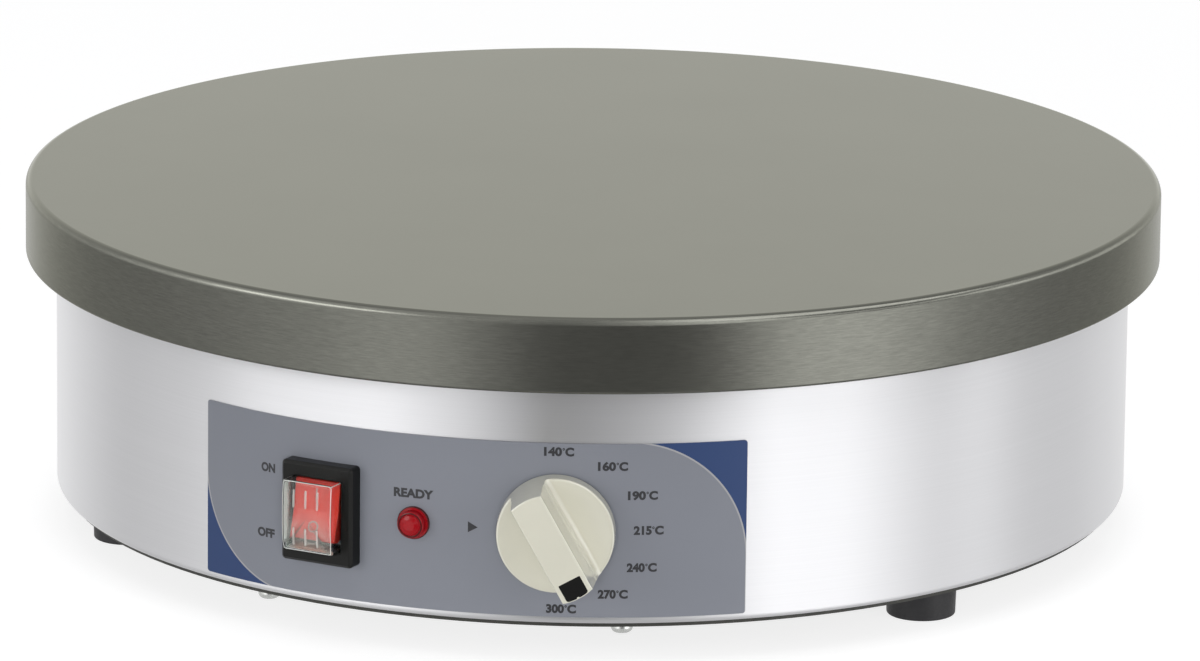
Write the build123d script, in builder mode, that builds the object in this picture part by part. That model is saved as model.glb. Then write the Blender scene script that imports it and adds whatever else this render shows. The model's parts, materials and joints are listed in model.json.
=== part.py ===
from build123d import *
from collections import namedtuple
from math import asin, atan, cos, degrees, radians, sin, sqrt, tan
import os

# Electric crepe maker: a cast griddle plate on a steel drum, with its controls at the front.
# Millimetres, +Z up. The origin lies on the plate's axis, in the plane of the feet's undersides.
# The controls face -Y. An azimuth is counted in degrees from -Y, positive towards +X.

# ---------------------------------------------------------------- heights and radii
foot_height = 12.5
base_sheet = 1.5
drum_visible = 83.2          # steel that shows between the base plate and the plate's rim
drum_tuck = 3.8              # how far the drum reaches up inside the rim
rim_height = 26.1
plate_thickness = 14.0

plate_radius = 200.0
rim_wall = 7.0
rim_gap = 3.8                # radial, between the rim and the drum inside it
drum_radius = plate_radius - rim_wall - rim_gap
base_inset = 2.7             # the base plate is this much smaller, in radius, than the drum
base_radius = drum_radius - base_inset

# ---------------------------------------------------------------- general clearances
fit = 0.05                   # between pieces that are screwed, pressed or glued together
running = 0.05               # radial, between a shaft and its bearing
sheet_hole = 0.3             # radial, around a screw or a stud that passes through a sheet

# ---------------------------------------------------------------- griddle plate
rim_edge_round = 2.5
rim_foot_round = 1.0
rim_inner_round = 5.0
boss_radius = 8.0
boss_drop = 3.0              # bosses reach this far under the plate
thread_depth = 8.0           # blind threads in the plate, above the bosses' ends

# ---------------------------------------------------------------- how the plate is carried
plate_stud_inset = 13.2      # from the drum's face in to the studs that carry the plate
plate_stud_circle = drum_radius - plate_stud_inset
plate_stud_count = 3
plate_spacer_radius = 7.0

# ---------------------------------------------------------------- heating elements
element_radius = 4.25
outer_ring_inset = 31.0      # from the plate's studs in to the outer element
outer_ring_radius = plate_stud_circle - outer_ring_inset
inner_ring_radius = 85.0
leg_bend_radius = 14.0
leg_spacing = 30.0           # between the two legs of one element
leg_drop = 32.0              # straight part of a leg
pin_radius = 2.0
pin_length = 12.0

# ---------------------------------------------------------------- clamps and M6 studs
FlangeNut = namedtuple("FlangeNut", "thread_radius across_flats height flange_radius flange_height")
m6_radius = 3.0
m6_across_flats = 10.0
m6_nut_height = 6.0
m6_flange_radius = 6.8
m6_flange_height = 1.4
m6_nut = FlangeNut(m6_radius, m6_across_flats, m6_nut_height, m6_flange_radius, m6_flange_height)
stud_proud = 2.0             # thread that shows past an M5 or M6 nut
clamp_overhang = 13.0        # of a clamp past the middle of each element
clamp_width = 16.0
clamp_thickness = 3.0
clamp_count = 3
clamp_turn = 30.0
clamp_corner_round = 3.0

# ---------------------------------------------------------------- insulation and heat shield
shield_clearance = 9.0       # between the shield's wall and the spacers round it
shield_radius = plate_stud_circle - plate_spacer_radius - shield_clearance
shield_sheet = 1.0
shield_depth = 13.0
shield_gap = 12.0            # from the clamps down to the blanket
blanket_thickness = 10.0
leg_hole_radius = 6.5
shield_stud_turn = 90.0
spacer_radius = 5.0

# ---------------------------------------------------------------- drum
drum_sheet = 1.0
drum_bend_radius = 2.0
top_flange_width = 24.0
bottom_flange_width = 13.0

# ---------------------------------------------------------------- base plate, screws and feet
base_screw_inset = 8.7       # from the drum's face in to the screws of its lower flange
base_screw_circle = drum_radius - base_screw_inset
base_screw_half_angle = 20.4
base_screw_groups = 3
m4_radius = 2.0
base_head_radius = 3.9
base_head_height = 3.4
base_nut_height = 3.2
base_nut_across_flats = 7.0
head_round = 0.6             # of a pan head's rim, as a share of the head's height
foot_inset = 22.2            # from the drum's face in to the middle of a foot
foot_circle = drum_radius - foot_inset
foot_count = 3
foot_turn = 60.0
foot_radius = 12.2
foot_taper = 0.35            # the foot is this much smaller, in radius, at the bottom
foot_edge_round = 0.8
foot_recess_radius = 6.2
foot_recess_depth = 7.0
m5_radius = 2.5
foot_head_radius = 4.75
foot_head_height = 3.3
m5_across_flats = 8.0
m5_nut_height = 5.0
m5_flange_radius = 5.9
m5_flange_height = 1.2
m5_nut = FlangeNut(m5_radius, m5_across_flats, m5_nut_height, m5_flange_radius, m5_flange_height)
screw_proud = 1.5            # thread that shows past an M4 nut
recess_width = 1.2           # of a cross recess in a screw's head
recess_depth = 1.4
vent_ring_radius = 70.0
vent_count = 18
vent_length = 34.0
vent_width = 4.0

# ---------------------------------------------------------------- control label
label_thickness = 0.3
label_height = 60.7
label_bottom_margin = 2.6    # steel that shows under the label
label_left_azimuth = -26.7
label_right_azimuth = 33.05
label_corner_round = 1.2
panel_cut = 5.0              # how deep holes are cut, each way from the label's face
control_height = 46.6        # the switch, the lamp and the knob share this height

# ---------------------------------------------------------------- main switch
switch_azimuth = -11.52
bezel_width = 27.5
bezel_height = 35.0
bezel_depth = 5.4
bezel_corner_round = 1.4
bezel_front_chamfer = 1.0
switch_body_width = 22.0
switch_body_height = 28.0
switch_body_depth = 24.0
switch_lip_width = 25.0
switch_lip_height = 32.4
switch_lip_thickness = 1.0
cap_width = 19.2
cap_height = 25.0
cap_front = 12.2             # outermost point of the cap's bulged front, over the label
cap_bulge = 0.7
cap_wall = 0.6
cap_flange_thickness = 0.8
cap_flange_width = 1.4
cap_top_round = 0.8
cap_bottom_round = 2.4
cap_rib_width = 0.9
cap_rib_length = 6.3
cap_rib_height = 0.35
cap_rib_spacing = 5.1
cap_rib_height_on_cap = 6.6  # centre of a rib, above or below the cap's middle
rocker_width = 16.2
rocker_half_length = 10.2
rocker_front = 7.3           # from the pivot to the bottom of the shallow V
rocker_v_angle = 4.0
rocker_tilt = 12.0
rocker_pivot_depth = 1.5     # pivot behind the label's face
rocker_keel = 4.5
rocker_keel_half_length = 5.5
rocker_end_thickness = 2.5
rocker_edge_round = 0.5
pivot_pin_radius = 1.5
pivot_pin_length = 1.0
well_side_gap = 0.5
well_end_gap = 0.8
well_floor_gap = 1.4
blade_width = 6.3
blade_thickness = 0.8
blade_length = 9.0
blade_spacing_across = 11.0
blade_spacing_up = 12.0

# ---------------------------------------------------------------- ready lamp
lamp_azimuth = -1.4
lamp_flange_radius = 5.7
lamp_flange_height = 1.1
lamp_dome_radius = 4.75
lamp_dome_height = 5.2
lamp_dome_round = 1.6
lamp_barrel_radius = 4.9
lamp_barrel_length = 22.0
lamp_bore_radius = 3.6
lamp_spigot_length = 5.0
lamp_nut_across_flats = 14.0
lamp_nut_height = 3.0
lamp_tag_length = 7.0
lamp_tag_width = 2.8
lamp_tag_spacing = 5.0

# ---------------------------------------------------------------- thermostat
thermostat_azimuth = 13.44
bracket_width = 40.0
bracket_height = 44.0
bracket_sheet = 1.5
bracket_corner_round = 2.0
thermostat_width = 34.0
thermostat_height = 38.0
thermostat_depth = 22.0
diaphragm_radius = 13.0
diaphragm_height = 5.0
bush_radius = 4.5
bush_front = 1.0             # end of the bush over the label
spindle_radius = 3.0
spindle_flat = 1.5           # from the spindle's axis to its flat
spindle_front = 16.0
spindle_back = 9.0           # inside the body, behind the bracket
spindle_end_gap = 0.3        # behind the spindle, in its blind bore
tab_spacing_across = 18.0
tab_spacing_up = 33.0
thermostat_head_radius = 3.6
thermostat_head_height = 2.2
thermostat_head_gap = 0.6    # between these screws' heads and the knob's skirt round them
capillary_radius = 1.0
bulb_radius = 3.0
bulb_end_round = 1.8
bulb_length = 80.0
bulb_y = -36.0
capillary_run = 18.0         # from the bulb's end to where the tube turns down
capillary_hole_radius = 3.0
clip_width = 14.0
clip_sheet = 1.2
clip_foot = 12.0
clip_thread_depth = 8.0
capillary_low = 58.0         # how far down the tube comes
capillary_lead = 14.0        # straight run into the thermostat
capillary_bend_radius = 6.0

# ---------------------------------------------------------------- control knob
knob_pointer_angle = -60.8   # of the pointer at rest, from the horizontal
knob_gap = 0.8               # between the label and the skirt
skirt_base_radius = 20.2
skirt_face = 5.9             # the skirt's face over the label
skirt_edge_round = 0.7
skirt_land = 1.2             # level ring round the dished face
skirt_wall = 2.0
dish_depth = 1.4
dish_bottom_thickness = 1.5
grip_front = 23.5            # the grip bar's face over the label
grip_half_width = 5.65
grip_draft = 2.9             # of the bar's flanks, and of the skirt
grip_edge_round = 0.5
grip_foot_round = 1.0
grip_end_inset = 0.1         # of the bar's two ends, behind the skirt's cone
hub_radius = 5.4
hub_gap = 0.5                # between the hub and the bush, and past the spindle's end
inlay_start = 12.0
inlay_half_width = 4.15
inlay_thickness = 0.8

# ---------------------------------------------------------------- mains inlet
gland_height = 36.0
gland_thread_radius = 10.0
gland_hex_across_flats = 24.0
gland_hex_length = 6.0
gland_neck_length = 9.0
gland_neck_radius = 9.0
gland_nut_gap = 1.0          # of thread between the hexagon and the dome nut
gland_dome_round = 5.0
gland_seal_recess = 1.5
gland_nut_length = 12.5
gland_bore_radius = 6.5
gland_inside_length = 10.0
gland_locknut_across_flats = 26.0
gland_locknut_length = 5.0
cable_radius = 4.5           # the cable that the seal is made for
block_screw_spacing = 40.0
terminal_block_y = 118.0
terminal_block_length = 52.0
terminal_block_width = 22.0
terminal_block_height = 18.0
terminal_pitch = 15.0
terminal_screw_radius = 2.4
terminal_well_depth = 5.0
terminal_screw_height = 3.0
terminal_row_spacing = 11.0
terminal_entry_drop = 6.0
terminal_entry_radius = 2.2
terminal_entry_depth = 8.0
block_thread_depth = 9.0
earth_stud_x = 62.0
earth_stud_length = 16.0

# ---------------------------------------------------------------- worked-out places
base_top = foot_height + base_sheet
rim_bottom = base_top + drum_visible
plate_top = rim_bottom + rim_height
plate_under = plate_top - plate_thickness
boss_bottom = plate_under - boss_drop
drum_top = rim_bottom + drum_tuck
drum_inside = drum_radius - drum_sheet
face_radius = drum_radius + fit + label_thickness    # the label's outer face
clamp_top = plate_under - element_radius
clamp_bottom = clamp_top - clamp_thickness
clamp_circle = (inner_ring_radius + outer_ring_radius) / 2     # midway between the elements
clamp_length = outer_ring_radius - inner_ring_radius + 2 * clamp_overhang
blanket_top = clamp_bottom - shield_gap
shield_top = blanket_top - blanket_thickness
shield_bottom = shield_top - shield_sheet
thermostat_screw_reach = skirt_base_radius - skirt_wall - thermostat_head_gap - thermostat_head_radius


def fall(radius, half_width):
    """How far a circle of this radius drops behind its tangent at half_width to the side."""
    return radius - sqrt(radius**2 - half_width**2)


def panel_plane(azimuth, radius=face_radius, height=control_height, turn=0):
    """Plane square to the drum's radius: X to the right as seen from outside, Y up, Z outwards."""
    out = Vector(sin(radians(azimuth)), -cos(radians(azimuth)), 0)
    right = Vector(cos(radians(azimuth)), sin(radians(azimuth)), 0)
    x_dir = right * cos(radians(turn)) + Vector(0, 0, sin(radians(turn)))
    return Plane(origin=out * radius + Vector(0, 0, height), x_dir=x_dir, z_dir=out)


def radial_plane(azimuth):
    """Upright plane through the plate's axis: X outwards at the azimuth, Y up."""
    out = Vector(sin(radians(azimuth)), -cos(radians(azimuth)), 0)
    return Plane(origin=(0, 0, 0), x_dir=out, z_dir=out.cross(Vector(0, 0, 1)))


def polar(circle, azimuth):
    """Point on a circle about the plate's axis, at an azimuth."""
    return (circle * sin(radians(azimuth)), -circle * cos(radians(azimuth)))


def ring(circle, count, turn=0):
    """Points spread evenly on a circle, the first one at azimuth turn."""
    return [polar(circle, turn + 360 * i / count) for i in range(count)]


def discs(places, height, radius, amount, mode=Mode.ADD):
    """Extrudes equal discs at the given places, from the level height by amount."""
    with BuildSketch(Plane.XY.offset(height)) as spots:
        with Locations(*places):
            Circle(radius)
    extrude(spots.sketch, amount=amount, mode=mode)


def flange_nuts(places, seat, way, nut):
    """Flange nuts on the level seat: way is 1 for standing on it and -1 for hanging below it."""
    discs(places, seat, nut.flange_radius, way * nut.flange_height)
    with BuildSketch(Plane.XY.offset(seat)) as hexagons:
        with Locations(*places):
            RegularPolygon(nut.across_flats / 2, 6, major_radius=False)
    extrude(hexagons.sketch, amount=way * nut.height)
    discs(places, seat, nut.thread_radius + fit, way * nut.height, Mode.SUBTRACT)


def rod(plane, radius, start, end, mode=Mode.ADD):
    """Cylinder on a plane's normal, between two distances in front of the plane."""
    with BuildSketch(plane.offset(start)) as section:
        Circle(radius)
    extrude(section.sketch, amount=end - start, mode=mode)


def brick(plane, width, height, start, end, mode=Mode.ADD, corner=0):
    """Rectangular block on a plane's normal, between two distances in front of the plane."""
    with BuildSketch(plane.offset(start)) as section:
        if corner:
            RectangleRounded(width, height, corner)
        else:
            Rectangle(width, height)
    extrude(section.sketch, amount=end - start, mode=mode)


def hexagon(plane, across_flats, start, end):
    """Hexagonal bar on a plane's normal, between two distances in front of the plane."""
    with BuildSketch(plane.offset(start)) as section:
        RegularPolygon(across_flats / 2, 6, major_radius=False)
    extrude(section.sketch, amount=end - start)


def drum_core(radius):
    """Takes away all that lies inside the drum's radius, so that a flat piece fits its curve."""
    discs([(0, 0)], base_top, radius, drum_top - base_top, Mode.SUBTRACT)


def panel_openings(screw_hole_radius):
    """Holes for the switch, the lamp and the thermostat, through the drum's sheet and its label."""
    width = switch_body_width + 2 * sheet_hole
    height = switch_body_height + 2 * sheet_hole
    brick(switch_plane, width, height, -panel_cut, panel_cut, Mode.SUBTRACT)
    rod(lamp_plane, lamp_barrel_radius + sheet_hole, -panel_cut, panel_cut, Mode.SUBTRACT)
    rod(thermostat_plane, bush_radius + sheet_hole, -panel_cut, panel_cut, Mode.SUBTRACT)
    for plane in thermostat_screw_planes:
        rod(plane, screw_hole_radius, -panel_cut, panel_cut, Mode.SUBTRACT)


def save(part, name):
    """Names a finished piece and writes it."""
    part.label = name
    export_step(part, f"parts/{name}.step")


os.makedirs("parts", exist_ok=True)

switch_plane = panel_plane(switch_azimuth)
lamp_plane = panel_plane(lamp_azimuth)
thermostat_plane = panel_plane(thermostat_azimuth)
gland_plane = panel_plane(180, drum_radius, gland_height)
knob_plane = panel_plane(thermostat_azimuth, turn=knob_pointer_angle)

clamp_places = ring(clamp_circle, clamp_count, clamp_turn)
shield_places = ring(clamp_circle, clamp_count, shield_stud_turn)
plate_places = ring(plate_stud_circle, plate_stud_count)
base_screw_places = [
    polar(base_screw_circle, 360 * i / base_screw_groups + side * base_screw_half_angle)
    for i in range(base_screw_groups)
    for side in (-1, 1)
]
foot_places = ring(foot_circle, foot_count, foot_turn)
clip_screw_places = [
    (0, bulb_y + side * (bulb_radius + clip_sheet + clip_foot / 2)) for side in (-1, 1)
]
block_screw_places = [(side * block_screw_spacing / 2, terminal_block_y) for side in (-1, 1)]
thermostat_screw_planes = [
    panel_plane(thermostat_azimuth, height=control_height + side * thermostat_screw_reach)
    for side in (-1, 1)
]
bulb_place = (bulb_length / 2 + capillary_run, bulb_y)


def element_end(ring_radius, side):
    """Where one end of an element leaves its ring, and the level direction in which it leaves."""
    across = leg_spacing / 2 + leg_bend_radius
    tilt = asin(across / ring_radius)
    start = Vector(side * across, ring_radius * cos(tilt), plate_under)
    return start, Vector(-side * cos(tilt), sin(tilt), 0)


leg_places = []
for ring_radius in (inner_ring_radius, outer_ring_radius):
    for side in (-1, 1):
        start, away = element_end(ring_radius, side)
        leg_places.append((start.X + away.X * leg_bend_radius, start.Y + away.Y * leg_bend_radius))

# ================================================================ griddle plate
with BuildPart() as griddle_plate:
    with BuildSketch(Plane.XZ) as plate_section:
        with Locations((0, rim_bottom)):
            Rectangle(plate_radius, rim_height, align=(Align.MIN, Align.MIN))
            Rectangle(
                plate_radius - rim_wall,
                rim_height - plate_thickness,
                align=(Align.MIN, Align.MIN),
                mode=Mode.SUBTRACT,
            )
        rim_corners = plate_section.vertices().group_by(Axis.X)[-1].sort_by(Axis.Y)
        inner_corners = plate_section.vertices().group_by(Axis.X)[-2].sort_by(Axis.Y)
        fillet(rim_corners[-1], rim_edge_round)
        fillet([rim_corners[0], inner_corners[0]], rim_foot_round)
        fillet(inner_corners[-1], rim_inner_round)
    revolve(axis=Axis.Z)
    with BuildSketch(Plane.XZ):
        with Locations((inner_ring_radius, plate_under), (outer_ring_radius, plate_under)):
            Circle(element_radius + fit)
    revolve(axis=Axis.Z, mode=Mode.SUBTRACT)
    discs(clamp_places + shield_places, plate_under, boss_radius, -boss_drop)
    discs(plate_places, plate_under, boss_radius, -boss_drop)
    discs(
        clamp_places + shield_places + plate_places,
        boss_bottom,
        m6_radius + fit,
        thread_depth,
        Mode.SUBTRACT,
    )
    discs(clip_screw_places, plate_under, m4_radius + fit, clip_thread_depth, Mode.SUBTRACT)
save(griddle_plate.part, "griddle_plate")


# ================================================================ heating elements
def heating_element(ring_radius):
    """Tubular element: an open ring in the plate's groove, with both ends bent down at the back."""
    down = Vector(0, 0, -leg_bend_radius)
    with BuildLine() as route:
        for side in (-1, 1):
            start, away = element_end(ring_radius, side)
            sideways = away * leg_bend_radius
            middle = start + sideways * sin(radians(45)) + down * (1 - cos(radians(45)))
            ThreePointArc(start, middle, start + sideways + down)
            Line(start + sideways + down, start + sideways + down - Vector(0, 0, leg_drop))
        opening = degrees(asin((leg_spacing / 2 + leg_bend_radius) / ring_radius))
        CenterArc((0, 0, plate_under), ring_radius, 90 + opening, 360 - 2 * opening)
    wire = route.wires()[0]
    with BuildPart() as element:
        with BuildSketch(Plane(origin=wire @ 0, z_dir=wire % 0)):
            Circle(element_radius)
        sweep(path=wire)
        pins = [(end.X, end.Y) for end in (wire @ 0, wire @ 1)]
        discs(pins, plate_under - leg_bend_radius - leg_drop, pin_radius, -pin_length)
    return element.part


save(heating_element(inner_ring_radius), "heating_element_inner")
save(heating_element(outer_ring_radius), "heating_element_outer")

# ================================================================ clamps, studs, spacers and nuts
with BuildPart() as element_clamps:
    with BuildSketch(Plane.XY.offset(clamp_top)):
        with PolarLocations(clamp_circle, clamp_count, clamp_turn - 90):
            RectangleRounded(clamp_length, clamp_width, clamp_corner_round)
            Circle(m6_radius + sheet_hole, mode=Mode.SUBTRACT)
    extrude(amount=-clamp_thickness)
save(element_clamps.part, "element_clamps")


def studs(places, end):
    """M6 studs that are screwed into the plate's bosses and reach down to the level end."""
    with BuildPart() as group:
        discs(places, end, m6_radius, boss_bottom + thread_depth - end)
    return group.part


def spacers(places, bottom, radius):
    """Tubes on the studs, from the level bottom up to the plate's bosses."""
    with BuildPart() as group:
        discs(places, bottom, radius, boss_bottom - bottom)
        discs(places, bottom, m6_radius + fit, boss_bottom - bottom, Mode.SUBTRACT)
    return group.part


def m6_nuts(places, seat):
    """Flange nuts that hang under the level seat."""
    with BuildPart() as group:
        flange_nuts(places, seat, -1, m6_nut)
    return group.part


m6_end = m6_nut.height + stud_proud
drum_flange_bottom = drum_top - drum_sheet
save(studs(clamp_places, clamp_bottom - m6_end), "clamp_studs")
save(m6_nuts(clamp_places, clamp_bottom), "clamp_nuts")
save(studs(shield_places, shield_bottom - m6_end), "shield_studs")
save(spacers(shield_places, shield_top, spacer_radius), "shield_spacers")
save(m6_nuts(shield_places, shield_bottom), "shield_nuts")
save(studs(plate_places, drum_flange_bottom - m6_end), "plate_studs")
save(spacers(plate_places, drum_top, plate_spacer_radius), "plate_spacers")
save(m6_nuts(plate_places, drum_flange_bottom), "plate_nuts")

# ================================================================ insulation and heat shield
with BuildPart() as insulation_blanket:
    discs([(0, 0)], shield_top, shield_radius - shield_sheet - fit, blanket_thickness)
    discs(shield_places, shield_top, spacer_radius + sheet_hole, blanket_thickness, Mode.SUBTRACT)
    discs(leg_places, shield_top, leg_hole_radius, blanket_thickness, Mode.SUBTRACT)
    discs([bulb_place], shield_top, capillary_hole_radius, blanket_thickness, Mode.SUBTRACT)
save(insulation_blanket.part, "insulation_blanket")

with BuildPart() as heat_shield:
    discs([(0, 0)], shield_bottom, shield_radius, shield_depth)
    discs([(0, 0)], shield_top, shield_radius - shield_sheet, shield_depth, Mode.SUBTRACT)
    discs(shield_places, shield_bottom, m6_radius + sheet_hole, shield_sheet, Mode.SUBTRACT)
    discs(leg_places, shield_bottom, leg_hole_radius, shield_sheet, Mode.SUBTRACT)
    discs([bulb_place], shield_bottom, capillary_hole_radius, shield_sheet, Mode.SUBTRACT)
save(heat_shield.part, "heat_shield")

# ================================================================ drum
with BuildPart() as housing_shell:
    with BuildSketch(Plane.XZ) as drum_section:
        inner_edge = drum_radius - top_flange_width
        with Locations((inner_edge, base_top)):
            Rectangle(top_flange_width, drum_top - base_top, align=(Align.MIN, Align.MIN))
        with Locations((inner_edge, base_top + drum_sheet)):
            Rectangle(
                top_flange_width - drum_sheet,
                drum_top - base_top - 2 * drum_sheet,
                align=(Align.MIN, Align.MIN),
                mode=Mode.SUBTRACT,
            )
        with Locations((inner_edge, base_top)):
            Rectangle(
                top_flange_width - bottom_flange_width,
                drum_sheet,
                align=(Align.MIN, Align.MIN),
                mode=Mode.SUBTRACT,
            )
        outer_bends = drum_section.vertices().group_by(Axis.X)[-1]
        inner_bends = drum_section.vertices().group_by(Axis.X)[-2]
        fillet(outer_bends, drum_bend_radius)
        fillet(inner_bends, drum_bend_radius - drum_sheet)
    revolve(axis=Axis.Z)
    discs(plate_places, drum_flange_bottom, m6_radius + sheet_hole, drum_sheet, Mode.SUBTRACT)
    discs(base_screw_places, base_top, m4_radius + sheet_hole, drum_sheet, Mode.SUBTRACT)
    panel_openings(m4_radius + sheet_hole)
    rod(gland_plane, gland_thread_radius + sheet_hole, -panel_cut, panel_cut, Mode.SUBTRACT)
save(housing_shell.part, "housing_shell")

with BuildPart() as control_label:
    with BuildSketch(radial_plane(label_left_azimuth)):
        with Locations((drum_radius + fit, base_top + label_bottom_margin)):
            Rectangle(label_thickness, label_height, align=(Align.MIN, Align.MIN))
    revolve(axis=Axis.Z, revolution_arc=label_right_azimuth - label_left_azimuth)
    corners = control_label.edges().filter_by(lambda edge: edge.length < 2 * label_thickness)
    fillet(corners, label_corner_round)
    panel_openings(thermostat_head_radius + sheet_hole)
save(control_label.part, "control_label")

# ================================================================ base plate, screws and feet
with BuildPart() as base_plate:
    discs([(0, 0)], foot_height, base_radius, base_sheet)
    discs(base_screw_places, foot_height, m4_radius + sheet_hole, base_sheet, Mode.SUBTRACT)
    discs(foot_places, foot_height, m5_radius + sheet_hole, base_sheet, Mode.SUBTRACT)
    discs(block_screw_places, foot_height, m4_radius + sheet_hole, base_sheet, Mode.SUBTRACT)
    with BuildSketch(Plane.XY.offset(foot_height)):
        with PolarLocations(vent_ring_radius, vent_count):
            SlotOverall(vent_length, vent_width)
    extrude(amount=base_sheet, mode=Mode.SUBTRACT)
save(base_plate.part, "base_plate")


def pan_screws(places, seat, head_radius, head_height, shank_radius, tip):
    """Cross-recessed pan-head screws with the head's flat side at the level seat, pointing up."""
    with BuildPart() as group:
        discs(places, seat, head_radius, -head_height)
        rims = group.faces().filter_by(Axis.Z).group_by(Axis.Z)[0].edges()
        fillet(rims, head_height * head_round)
        with BuildSketch(Plane.XY.offset(seat - head_height)) as crosses:
            with Locations(*places):
                Rectangle(head_radius, recess_width)
                Rectangle(recess_width, head_radius)
        extrude(crosses.sketch, amount=recess_depth, mode=Mode.SUBTRACT)
        discs(places, seat, shank_radius, tip - seat)
    return group.part


base_nut_seat = base_top + drum_sheet
base_screw_tip = base_nut_seat + base_nut_height + screw_proud
save(
    pan_screws(base_screw_places, foot_height, base_head_radius, base_head_height, m4_radius, base_screw_tip),
    "base_screws",
)

with BuildPart() as captive_nuts:
    with BuildSketch(Plane.XY.offset(base_nut_seat)):
        with Locations(*base_screw_places):
            RegularPolygon(base_nut_across_flats / 2, 6, major_radius=False)
            Circle(m4_radius + fit, mode=Mode.SUBTRACT)
    extrude(amount=base_nut_height)
save(captive_nuts.part, "captive_nuts")

for number, place in enumerate(foot_places, 1):
    with BuildPart() as rubber_foot:
        with BuildSketch(Plane.XY.offset(foot_height)):
            with Locations(place):
                Circle(foot_radius)
        extrude(amount=-foot_height, taper=degrees(atan(foot_taper / foot_height)))
        fillet(rubber_foot.faces().sort_by(Axis.Z)[0].edges(), foot_edge_round)
        discs([place], 0, foot_recess_radius, foot_recess_depth, Mode.SUBTRACT)
        discs([place], 0, m5_radius + fit, foot_height, Mode.SUBTRACT)
    save(rubber_foot.part, f"rubber_foot_{number}")

foot_screw_tip = base_top + m5_nut.height + stud_proud
save(
    pan_screws(foot_places, foot_recess_depth, foot_head_radius, foot_head_height, m5_radius, foot_screw_tip),
    "foot_screws",
)

with BuildPart() as foot_nuts:
    flange_nuts(foot_places, base_top, 1, m5_nut)
save(foot_nuts.part, "foot_nuts")

# ================================================================ main switch
switch_side = Plane(switch_plane.origin, x_dir=switch_plane.y_dir, z_dir=switch_plane.x_dir)
pivot = switch_plane.offset(-rocker_pivot_depth).origin
rocker_up = switch_plane.y_dir * cos(radians(rocker_tilt)) - switch_plane.z_dir * sin(radians(rocker_tilt))
rocker_side = Plane(pivot, x_dir=rocker_up, z_dir=switch_plane.x_dir)
outwards = Axis(switch_plane.origin, switch_plane.z_dir)
flange_front = switch_lip_thickness + cap_flange_thickness
keel_swing = sqrt(rocker_keel**2 + rocker_keel_half_length**2)
well_floor = -rocker_pivot_depth - keel_swing - well_floor_gap
pin_reach = rocker_width / 2 + well_side_gap + pivot_pin_length

with BuildPart() as switch_body:
    brick(switch_plane, switch_lip_width, switch_lip_height, -bezel_depth, switch_lip_thickness)
    drum_core(face_radius + fit)
    brick(
        switch_plane,
        switch_body_width,
        switch_body_height,
        -switch_body_depth,
        switch_lip_thickness,
    )
    brick(
        switch_plane,
        rocker_width + 2 * well_side_gap,
        2 * (rocker_half_length + well_end_gap),
        well_floor,
        switch_lip_thickness,
        Mode.SUBTRACT,
    )
    socket_end = pin_reach + well_side_gap
    rod(rocker_side, pivot_pin_radius + running, -socket_end, socket_end, Mode.SUBTRACT)
save(switch_body.part, "switch_body")

with BuildPart() as switch_rocker:
    rise = rocker_half_length * tan(radians(rocker_v_angle))
    with BuildSketch(rocker_side):
        with BuildLine():
            Polyline(
                (0, rocker_front),
                (rocker_half_length, rocker_front + rise),
                (rocker_half_length, rocker_front + rise - rocker_end_thickness),
                (rocker_keel_half_length, -rocker_keel),
                (-rocker_keel_half_length, -rocker_keel),
                (-rocker_half_length, rocker_front + rise - rocker_end_thickness),
                (-rocker_half_length, rocker_front + rise),
                close=True,
            )
        make_face()
    extrude(amount=rocker_width / 2, both=True)
    face_edges = switch_rocker.edges().filter_by(
        lambda edge: rocker_side.to_local_coords(edge.center()).Y > rocker_front + rise / 4
    )
    fillet(face_edges, rocker_edge_round)
    rod(rocker_side, pivot_pin_radius, -pin_reach, pin_reach)
save(switch_rocker.part, "switch_rocker")

with BuildPart() as switch_splash_cap:
    shoulder = cap_front - cap_bulge
    bulge_radius = (cap_height**2 / 4 + cap_bulge**2) / (2 * cap_bulge)
    with BuildSketch(switch_side) as cap_profile:
        with BuildLine():
            Polyline(
                (cap_height / 2, shoulder),
                (cap_height / 2, switch_lip_thickness),
                (-cap_height / 2, switch_lip_thickness),
                (-cap_height / 2, shoulder),
            )
            ThreePointArc((-cap_height / 2, shoulder), (0, cap_front), (cap_height / 2, shoulder))
        make_face()
        shoulders = cap_profile.vertices().group_by(Axis.Y)[-1].sort_by(Axis.X)
        fillet(shoulders[0], cap_bottom_round)
        fillet(shoulders[-1], cap_top_round)
    extrude(amount=cap_width / 2, both=True)
    foot_face = switch_splash_cap.faces().sort_by(outwards)[0]
    offset(amount=-cap_wall, openings=foot_face)
    flange_width = cap_width + 2 * cap_flange_width
    flange_height = cap_height + 2 * cap_flange_width
    inner_width = cap_width - 2 * cap_wall
    inner_height = cap_height - 2 * cap_wall
    with BuildSketch(switch_plane.offset(switch_lip_thickness)):
        Rectangle(flange_width, flange_height)
        Rectangle(inner_width, inner_height, mode=Mode.SUBTRACT)
    extrude(amount=cap_flange_thickness)
    for column in (-1, 0, 1):
        with BuildSketch(switch_side.offset(column * cap_rib_spacing)):
            with Locations((-cap_rib_height_on_cap, cap_front), (cap_rib_height_on_cap, cap_front)):
                Rectangle(cap_rib_length, 4 * cap_wall)
            with Locations((0, cap_front - bulge_radius)):
                Circle(bulge_radius + cap_rib_height, mode=Mode.INTERSECT)
                Circle(bulge_radius - cap_wall / 2, mode=Mode.SUBTRACT)
        extrude(amount=cap_rib_width / 2, both=True)
save(switch_splash_cap.part, "switch_splash_cap")

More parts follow.
